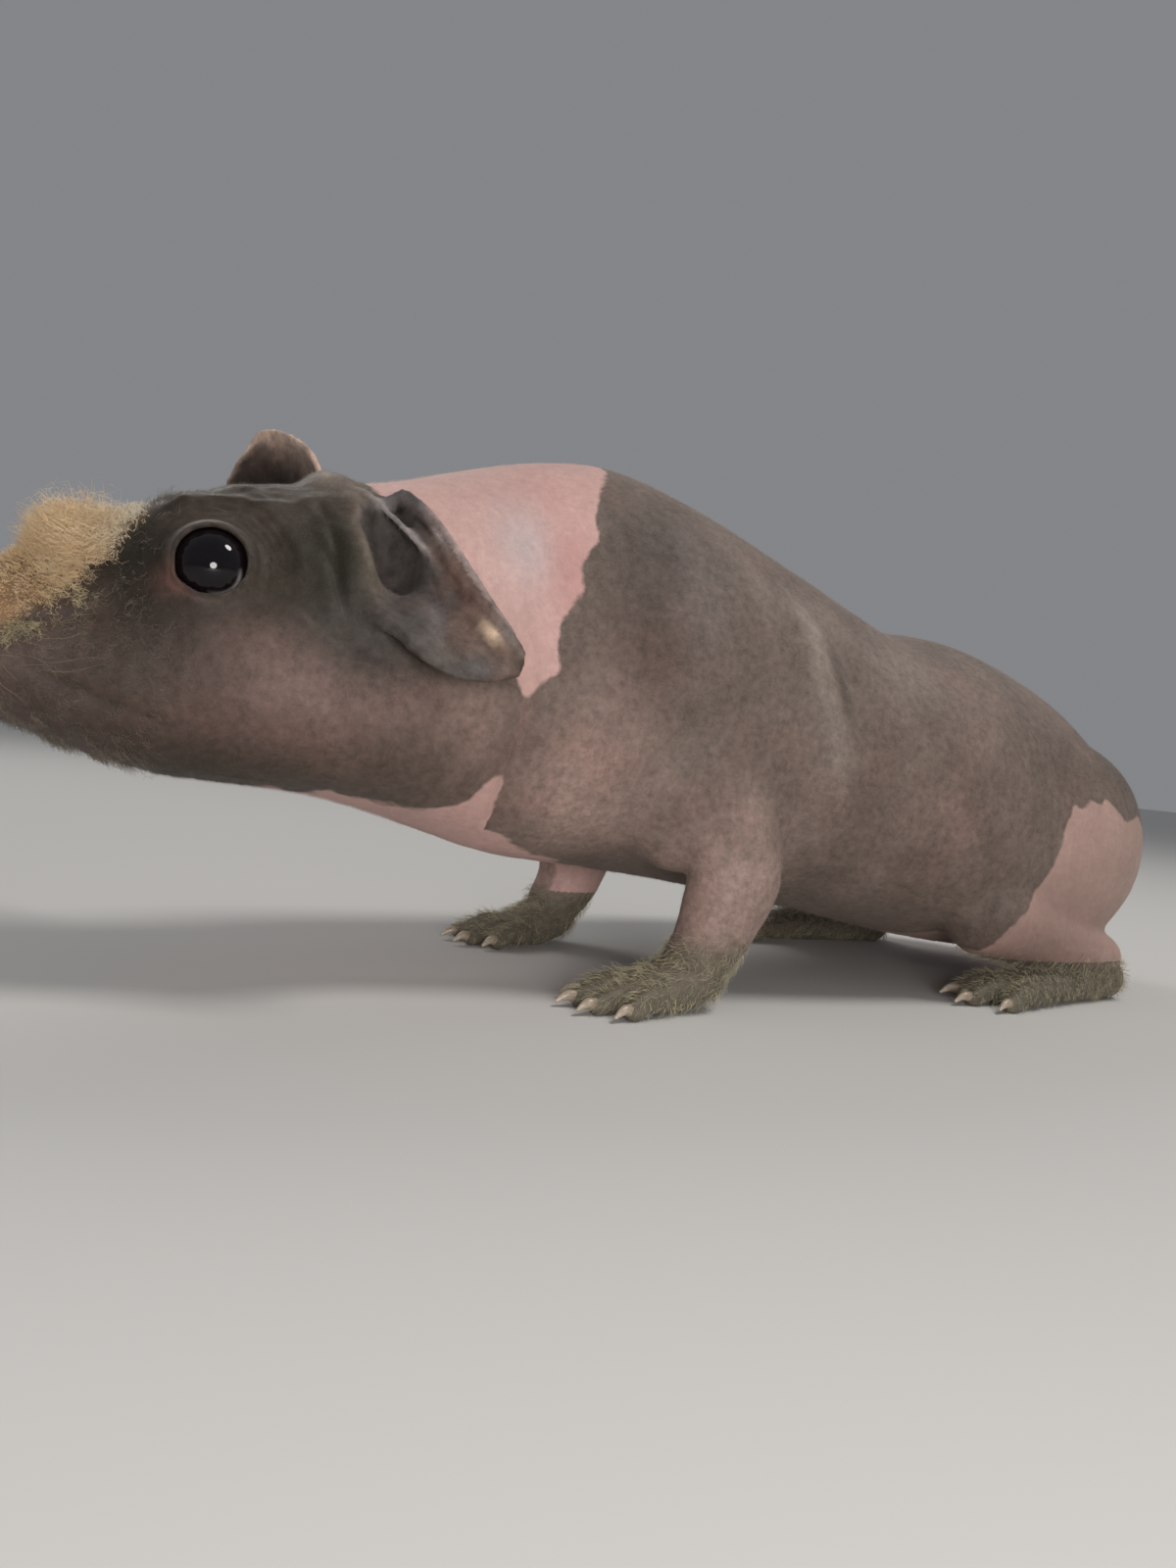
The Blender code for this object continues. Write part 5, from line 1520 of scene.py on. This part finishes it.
def scatter(found, density, count, draw):
    """Root places on the skin, drawn with the given density, with the skin's normal and colour there."""
    points, corners = found["points"], found["corners"]
    a, b, c = (points[corners[:, k]] for k in range(3))
    area = 0.5 * np.linalg.norm(np.cross(b - a, c - a), axis=1)
    run = np.cumsum(area * density[corners].mean(1))
    chosen = corners[np.searchsorted(run, draw.random(count) * run[-1])]
    r1, r2 = np.sqrt(draw.random(count)), draw.random(count)
    shares = np.stack([1.0 - r1, r1 * (1.0 - r2), r1 * r2], axis=1)[..., None]
    roots, ways, tint = ((found[name][chosen] * shares).sum(1) for name in ("points", "normals", "tint"))
    return roots, unit(ways), tint


def unwrapped(roots):
    """Places of roots on an unwrap of the skin: round the body's axis and along it."""
    angle = np.arctan2(roots[:, 0], roots[:, 2] - UNWRAP_HEIGHT) / (2.0 * math.pi) + 0.5
    along = (roots[:, 1] - UNWRAP_FROM) / UNWRAP_LENGTH
    return np.column_stack([angle, along]) * (1.0 - 2.0 * UV_MARGIN) + UV_MARGIN


def strands(name, roots, normals, lies, lengths, widths, draw, rise, rings, curl=0.0, turns=1.5, taper=0.85):
    """Closed three-sided hairs that rise and bend over towards lies, and how many points each hair has."""
    count, per = len(roots), 3 * rings + 1
    tangent = unit(lies - normals * (lies * normals).sum(1, keepdims=True))
    side = np.cross(normals, tangent)
    stand = np.broadcast_to(rise, count)[:, None]
    start = unit(normals * stand + tangent * (1.0 - stand) + side * draw.normal(0.0, 0.22, (count, 1)))
    end = unit(normals * (0.35 * stand) + tangent + side * draw.normal(0.0, 0.35, (count, 1)))
    phase = draw.random(count) * 2.0 * math.pi
    s = np.linspace(0.0, 1.0, rings + 1)
    path = []
    for share in s:
        centre = roots + (start * (share - 0.5 * share**2) + end * (0.5 * share**2)) * lengths[:, None]
        swirl = phase + share * turns * 2.0 * math.pi
        wave = side * np.cos(swirl)[:, None] + normals * np.sin(swirl)[:, None]
        path.append(centre + wave * (curl * lengths * share)[:, None])
    path = np.array(path)
    path[0] -= normals * ROOT_DEPTH
    path[1:, :, 2] = np.maximum(path[1:, :, 2], FLOOR_GAP)
    along = unit(np.gradient(path, axis=0))
    across = unit(np.cross(along, normals + 0.01 * side))
    up = np.cross(along, across)
    size = widths * (1.0 - taper * s[:, None] ** 1.6) * 0.5
    vertices = np.empty((count, per, 3))
    for k in range(rings):
        for j, angle in enumerate(angles(3)):
            offset = across[k] * math.cos(angle) + up[k] * math.sin(angle)
            vertices[:, 3 * k + j] = path[k] + offset * size[k][:, None]
    vertices[:, -1] = path[-1]
    faces = [(0, 2, 1)]
    for a, b, c, d in ring_faces(rings, 3):
        faces += [(a, b, c), (a, c, d)]
    last = per - 4
    faces += [(last + j, last + (j + 1) % 3, per - 1) for j in range(3)]
    triangles = (np.array(faces) + (np.arange(count) * per)[:, None, None]).reshape(-1, 3)
    mesh = bpy.data.meshes.new(name)
    mesh.vertices.add(count * per)
    mesh.vertices.foreach_set("co", vertices.astype(np.float32).ravel())
    mesh.loops.add(triangles.size)
    mesh.loops.foreach_set("vertex_index", triangles.astype(np.int32).ravel())
    mesh.polygons.add(len(triangles))
    mesh.polygons.foreach_set("loop_start", np.arange(0, triangles.size, 3, dtype=np.int32))
    mesh.update(calc_edges=True)
    local = np.column_stack([np.tile([0.0, 1.0, 0.5], rings), np.repeat(np.arange(rings) / rings, 3)])
    local = np.vstack([local, [0.5, 1.0]])
    places = unwrapped(roots)[:, None] + (local - 0.5) * UV_SPOT
    layer = mesh.uv_layers.new(name="OFBake")
    layer.data.foreach_set("uv", places.reshape(-1, 2)[triangles.ravel()].astype(np.float32).ravel())
    store_float(mesh, "along", np.tile([*np.repeat(s[:rings], 3), 1.0], count))
    return mesh, per


def coat_piece(name, roots, normals, lies, lengths, widths, root_tint, tip_tint, material, draw, **form):
    """Makes the hairs as one or more pieces, each under the limit of triangles."""
    size = PIECE_LIMIT // (6 * form["rings"] - 2)
    order = np.argsort(roots[:, 1], kind="stable")
    for number, begin in enumerate(range(0, len(roots), size)):
        pick = order[begin:begin + size]
        options = {k: (v[pick] if isinstance(v, np.ndarray) else v) for k, v in form.items()}
        label = f"{name}_{number + 1}" if len(roots) > size else name
        rows = [values[pick] for values in (roots, normals, lies, lengths, widths)]
        mesh, per = strands(label, *rows, draw, **options)
        store_colour(mesh, "root_tint", np.repeat(root_tint[pick], per, axis=0))
        store_colour(mesh, "tip_tint", np.repeat(tip_tint[pick], per, axis=0))
        finish_piece(place(label, mesh), material)


def tuft_lie(points):
    """The tuft's hair is swept up and forward on the crest, and outwards and down at the sides."""
    out = (points[:, 0] / TUFT_HALF_WIDTH).clip(-1.0, 1.0)
    back = np.interp(points[:, 1], [-130.0, -118.0, -112.0, -106.0], [-0.7, -0.6, -0.45, 0.3])
    return np.column_stack([1.2 * out, back, 0.3 - 1.3 * np.abs(out)])


def lie_of(points):
    """The way the coat lies: back along the body and down its sides, and towards the toes on the feet."""
    x, y, z = points.T
    lie = np.tile((0.0, 1.0, -0.45), (len(points), 1))
    lie[:, 0] = 0.12 * np.sign(x)
    lie[z < 13.0] = (0.0, -1.0, -0.35)
    muzzle = y < -104.0
    lie[muzzle] = (0.0, 1.0, -0.1)
    lie[muzzle, 0] = 0.35 * np.sign(x[muzzle])
    return lie


def clear_of_hair(points, normals):
    """One where hair may grow: not inside the sockets, nostrils and mouth, nor under the feet."""
    allowed = np.clip((eye_distance(points) - 7.2) / 1.2, 0.0, 1.0)
    for side in SIDES:
        hole = np.array(mirrored(NOSTRIL[1][0], side))
        allowed *= np.clip(np.linalg.norm(points - hole, axis=1) - 1.8, 0.0, 1.0)
    allowed *= (points[:, 2] > 1.2) | (normals[:, 2] > -0.3)
    mouth = line_distance(points, MOUTH_LINE, 6.0)[0]
    return allowed * np.clip((mouth - 1.2) / 0.8, 0.0, 1.0)


def varied(colours, draw, amount):
    return colours * (1.0 + amount * draw.standard_normal((len(colours), 1)))


def fuzz(name, found, density, count, seed, length, tip, tip_share, finish):
    """Short soft hair in the skin's own colour, paler at the tips except where the skin is dark."""
    draw = np.random.default_rng(seed)
    roots, ways, tint = scatter(found, density, count, draw)
    light = tint.mean(1, keepdims=True)
    target = np.array(tip) + (np.array(FUZZ_PINK_TIP) - np.array(tip)) * np.clip(light * 3.0, 0.0, 1.0)
    target = np.maximum(target, tint * 1.15)
    tips = tint + (target - tint) * tip_share * np.clip(0.25 + light * 8.0, 0.0, 1.0)
    lengths = length * draw.uniform(0.6, 1.25, len(roots))
    widths = FUZZ_WIDTH * draw.uniform(0.8, 1.2, len(roots))
    tints = varied(tint * 1.25, draw, 0.06), varied(tips, draw, 0.06)
    coat_piece(name, roots, ways, lie_of(roots), lengths, widths, *tints, finish, draw, rise=0.5, rings=1)


def long_hair(name, found, density, count, seed, length, width, tips, finish, rise, lie=lie_of, **form):
    """Curly hair that stands off the skin, in loose clumps."""
    draw = np.random.default_rng(seed)
    roots, ways, _ = scatter(found, density, count, draw)
    reach = length(roots) if callable(length) else length
    stray = np.where(draw.random(len(roots)) < 0.05, 1.15, 1.0)
    lengths = reach * draw.uniform(0.6, 1.05, len(roots)) * (1.0 + 0.18 * noise(roots, 2.6, seed)) * stray
    widths = width * draw.uniform(0.75, 1.25, len(roots))
    low, high = tips(roots) if callable(tips) else np.array(tips)
    shade = np.clip(0.5 + 0.6 * noise(roots, 2.2, seed + 1) + draw.normal(0.0, 0.25, len(roots)), 0.0, 1.0)
    tip = low + (high - low) * shade[:, None]
    clump = np.stack([noise(roots, 2.4, seed + k) for k in (2, 3, 4)], axis=1)
    heading = lie(roots) + 0.8 * clump + draw.normal(0.0, 0.4, roots.shape)
    tints = varied(tip * 0.7, draw, 0.12), varied(tip, draw, 0.12)
    stand = (rise * draw.uniform(0.7, 1.25, len(roots))).clip(0.05, 0.95)
    coat_piece(name, roots, ways, heading, lengths, widths, *tints, finish, draw, rise=stand, **form)


def tuft_tips(roots):
    """Gold, turning to cream where the tuft runs out towards the brow."""
    cream = np.clip((roots[:, 1] + 113.0) / 6.0, 0.0, 1.0)[:, None]
    low = np.array(GOLD) + (np.array(CREAM) * 0.85 - np.array(GOLD)) * cream
    return low, np.array(GOLD_BRIGHT) + (np.array(CREAM) - np.array(GOLD_BRIGHT)) * cream


def make_coat(found):
    """Grows each kind of hair where it belongs."""
    points, ear, foot = (found[name] for name in ("points", "ear", "foot"))
    y, z = points[:, 1], points[:, 2]
    allowed = clear_of_hair(points, found["normals"])
    head = np.clip((-56.0 - y) / 10.0, 0.0, 1.0)
    ear_gone, gold_gone = 1.0 - ear, 1.0 - found["gold"]
    bare = sum(bump_at(points, mirrored(DARK_SPOT, side), (10.0, 8.0, 8.0)) for side in SIDES)
    soft = hair_material("fuzz", 0.55, 0.1)
    golden = hair_material("golden_hair", 0.46, 0.25)
    on_body = allowed * (1.0 - 0.75 * found["pale_share"]) * (1.0 - head) * (1.0 - foot) * ear_gone
    fuzz("fuzz_body", found, on_body, BODY_FUZZ_COUNT, 101, 0.95, FUZZ_TIP, 0.6, soft)
    on_head = allowed * head * ear_gone * gold_gone * (1.0 - 0.6 * bare)
    fuzz("fuzz_head", found, on_head, HEAD_FUZZ_COUNT, 102, 1.0, HEAD_FUZZ_TIP, 0.5, soft)
    fuzz("fuzz_ears", found, allowed * ear, EAR_FUZZ_COUNT, 103, 0.8, HEAD_FUZZ_TIP, 0.4, soft)

    def hair(name, density, count, seed, length, width, tips, rise, **form):
        long_hair(name, found, density, count, seed, length, width, tips, golden, rise, **form)

    in_tuft = allowed * found["gold"] * (0.4 + tuft_height(points) / 8.0)
    tall = {"rings": 7, "curl": 0.17, "turns": 2.0, "lie": tuft_lie}
    hair("nose_tuft", in_tuft, TUFT_COUNT, 104, tuft_height, 0.095, tuft_tips, 0.8, **tall)
    below = np.interp(y, *TUFT_BORDER) - z
    by_tuft = np.clip((5.0 - below) / 4.0, 0.0, 1.0) * np.clip((-111.0 - y) / 4.0, 0.0, 1.0)
    by_tuft *= np.clip(noise(points, 1.7, 42) * 2.0, 0.0, 1.0)
    by_tuft = allowed * gold_gone * by_tuft
    hair("tuft_wisps", by_tuft, WISP_COUNT, 108, 2.6, 0.07, WISP_TIPS, 0.55, rings=5, curl=0.2, lie=tuft_lie)
    muzzle = allowed * np.clip((-101.0 - y) / 8.0, 0.0, 1.0) * gold_gone * (y > NOSE_END)
    muzzle *= np.clip(0.35 + noise(points, 1.9, 43) * 1.4, 0.05, 1.0) * (1.0 - 0.9 * bare)
    hair("muzzle_hair", muzzle, MUZZLE_COUNT, 105, 2.6, 0.05, MUZZLE_TIPS, 0.5, rings=5, curl=0.2)
    on_feet = allowed * foot * (z > 1.5)
    hair("foot_hair", on_feet, FOOT_COUNT, 106, 3.4, 0.07, FOOT_TIPS, 0.45, rings=3, curl=0.1, turns=0.8)
    make_whiskers(golden)


def make_whiskers(material):
    """Fine kinked whiskers in rows on each side of the muzzle."""
    draw = np.random.default_rng(107)
    roots, ways, lies, lengths = [], [], [], []
    for side in SIDES:
        for row in range(3):
            for k in range(4):
                roots.append((side * (8.6 + 1.2 * k), -127.5 + 2.6 * k, 45.0 + 2.1 * row))
                ways.append((side * 0.9, -0.35, 0.05))
                lies.append((side * 0.8, 0.2 + 0.2 * k, 0.25 * (row - 1.3)))
                lengths.append(draw.uniform(*WHISKER_LENGTHS))
    roots, ways, lies, lengths = np.array(roots), unit(np.array(ways)), np.array(lies), np.array(lengths)
    pale = np.tile(WHISKER, (len(roots), 1))
    form = {"rise": 0.55, "rings": 12, "curl": 0.035, "turns": 1.2, "taper": 0.8}
    widths = np.full(len(roots), WHISKER_WIDTH)
    coat_piece("whiskers", roots, ways, lies, lengths, widths, pale * 0.6, pale, material, draw, **form)


# Camera, lights and floor

CAMERA_AT = (186.8, -139.9, 42.5)
CAMERA_TURN = math.radians(58.0)
CAMERA_PITCH = math.radians(5.5)
FLOOR_SLOPE = math.radians(7.0)  # the photograph's floor slopes down towards the tail
LENS = 27.0
SENSOR = 36.0
CLIP_START = 0.005
# Lights, in metres: name, place, size, power, colour and the place that it points at
LIGHTS = [
    ("key", (0.33, 0.42, 0.92), 0.30, 4.9, (1.0, 0.97, 0.93), (0.0, -0.02, 0.05)),
    ("rim", (-0.60, -0.05, 0.60), 0.40, 1.2, (1.0, 0.96, 0.91), (0.0, -0.02, 0.05)),
    ("front", (0.340, -0.153, 0.062), 0.11, 0.65, (1.0, 0.98, 0.95), (0.02, -0.06, 0.05)),
]
FLOOR_HALF = 12.0
FLOOR_COLOUR = (0.62, 0.61, 0.59, 1.0)
SKY_COLOUR = (0.72, 0.74, 0.78, 1.0)
SKY_STRENGTH = 0.32


def make_camera():
    data = bpy.data.cameras.new("camera")
    data.lens = LENS
    data.sensor_width = SENSOR
    data.sensor_fit = "AUTO"
    data.clip_start = CLIP_START
    turn = Matrix.Rotation(CAMERA_TURN, 4, "Z") @ Matrix.Rotation(0.5 * math.pi - CAMERA_PITCH, 4, "X")
    placing = Matrix.Rotation(FLOOR_SLOPE, 4, "X") @ turn
    placing.translation = (Vector(CAMERA_AT) + Vector(SHIFT)) * MM
    camera = place("camera", data)
    camera.matrix_world = placing
    bpy.context.scene.camera = camera


def make_light(name, at, size, power, colour, aim):
    data = bpy.data.lights.new(name, "AREA")
    data.shape = "DISK"
    data.size = size
    data.energy = power
    data.color = colour
    light = place(name, data)
    light.location = at
    light.rotation_euler = (Vector(at) - Vector(aim)).to_track_quat("Z", "Y").to_euler()


def make_studio():
    form = bmesh.new()
    bmesh.ops.create_grid(form, x_segments=2, y_segments=2, size=FLOOR_HALF)
    mesh = bpy.data.meshes.new("floor")
    form.to_mesh(mesh)
    form.free()
    n = Nodes("pale_floor")
    n.set(Base_Color=FLOOR_COLOUR, Roughness=0.8)
    mesh.materials.append(n.material)
    place("floor", mesh)
    world = bpy.data.worlds.new("studio")
    world.use_nodes = True
    sky = world.node_tree.nodes["Background"].inputs
    sky["Color"].default_value = SKY_COLOUR
    sky["Strength"].default_value = SKY_STRENGTH
    bpy.context.scene.world = world
    for light in LIGHTS:
        make_light(*light)
    bpy.context.scene.view_settings.view_transform = "Standard"


def main():
    make_camera()
    make_studio()
    skin, body_tree = make_skin()
    soften_joins(skin, body_tree)
    points = sculpt(skin)
    make_coat(paint_skin(skin, points))
    flesh = ["head", "neck", "torso", "ear_left", "ear_right"]
    for kind in LEGS:
        for label in SIDES.values():
            flesh += [f"leg_{kind}_{label}", f"foot_{kind}_{label}"]
    finish_piece(skin, skin_material(), flesh)
    eye_finish = eye_material()
    claw_finish = claw_material()
    for side in SIDES:
        make_eye(side, eye_finish)
        for kind in LEGS:
            for k, line in enumerate(toe_lines(kind, side)):
                make_claw(kind, side, k, line, claw_finish)


main()
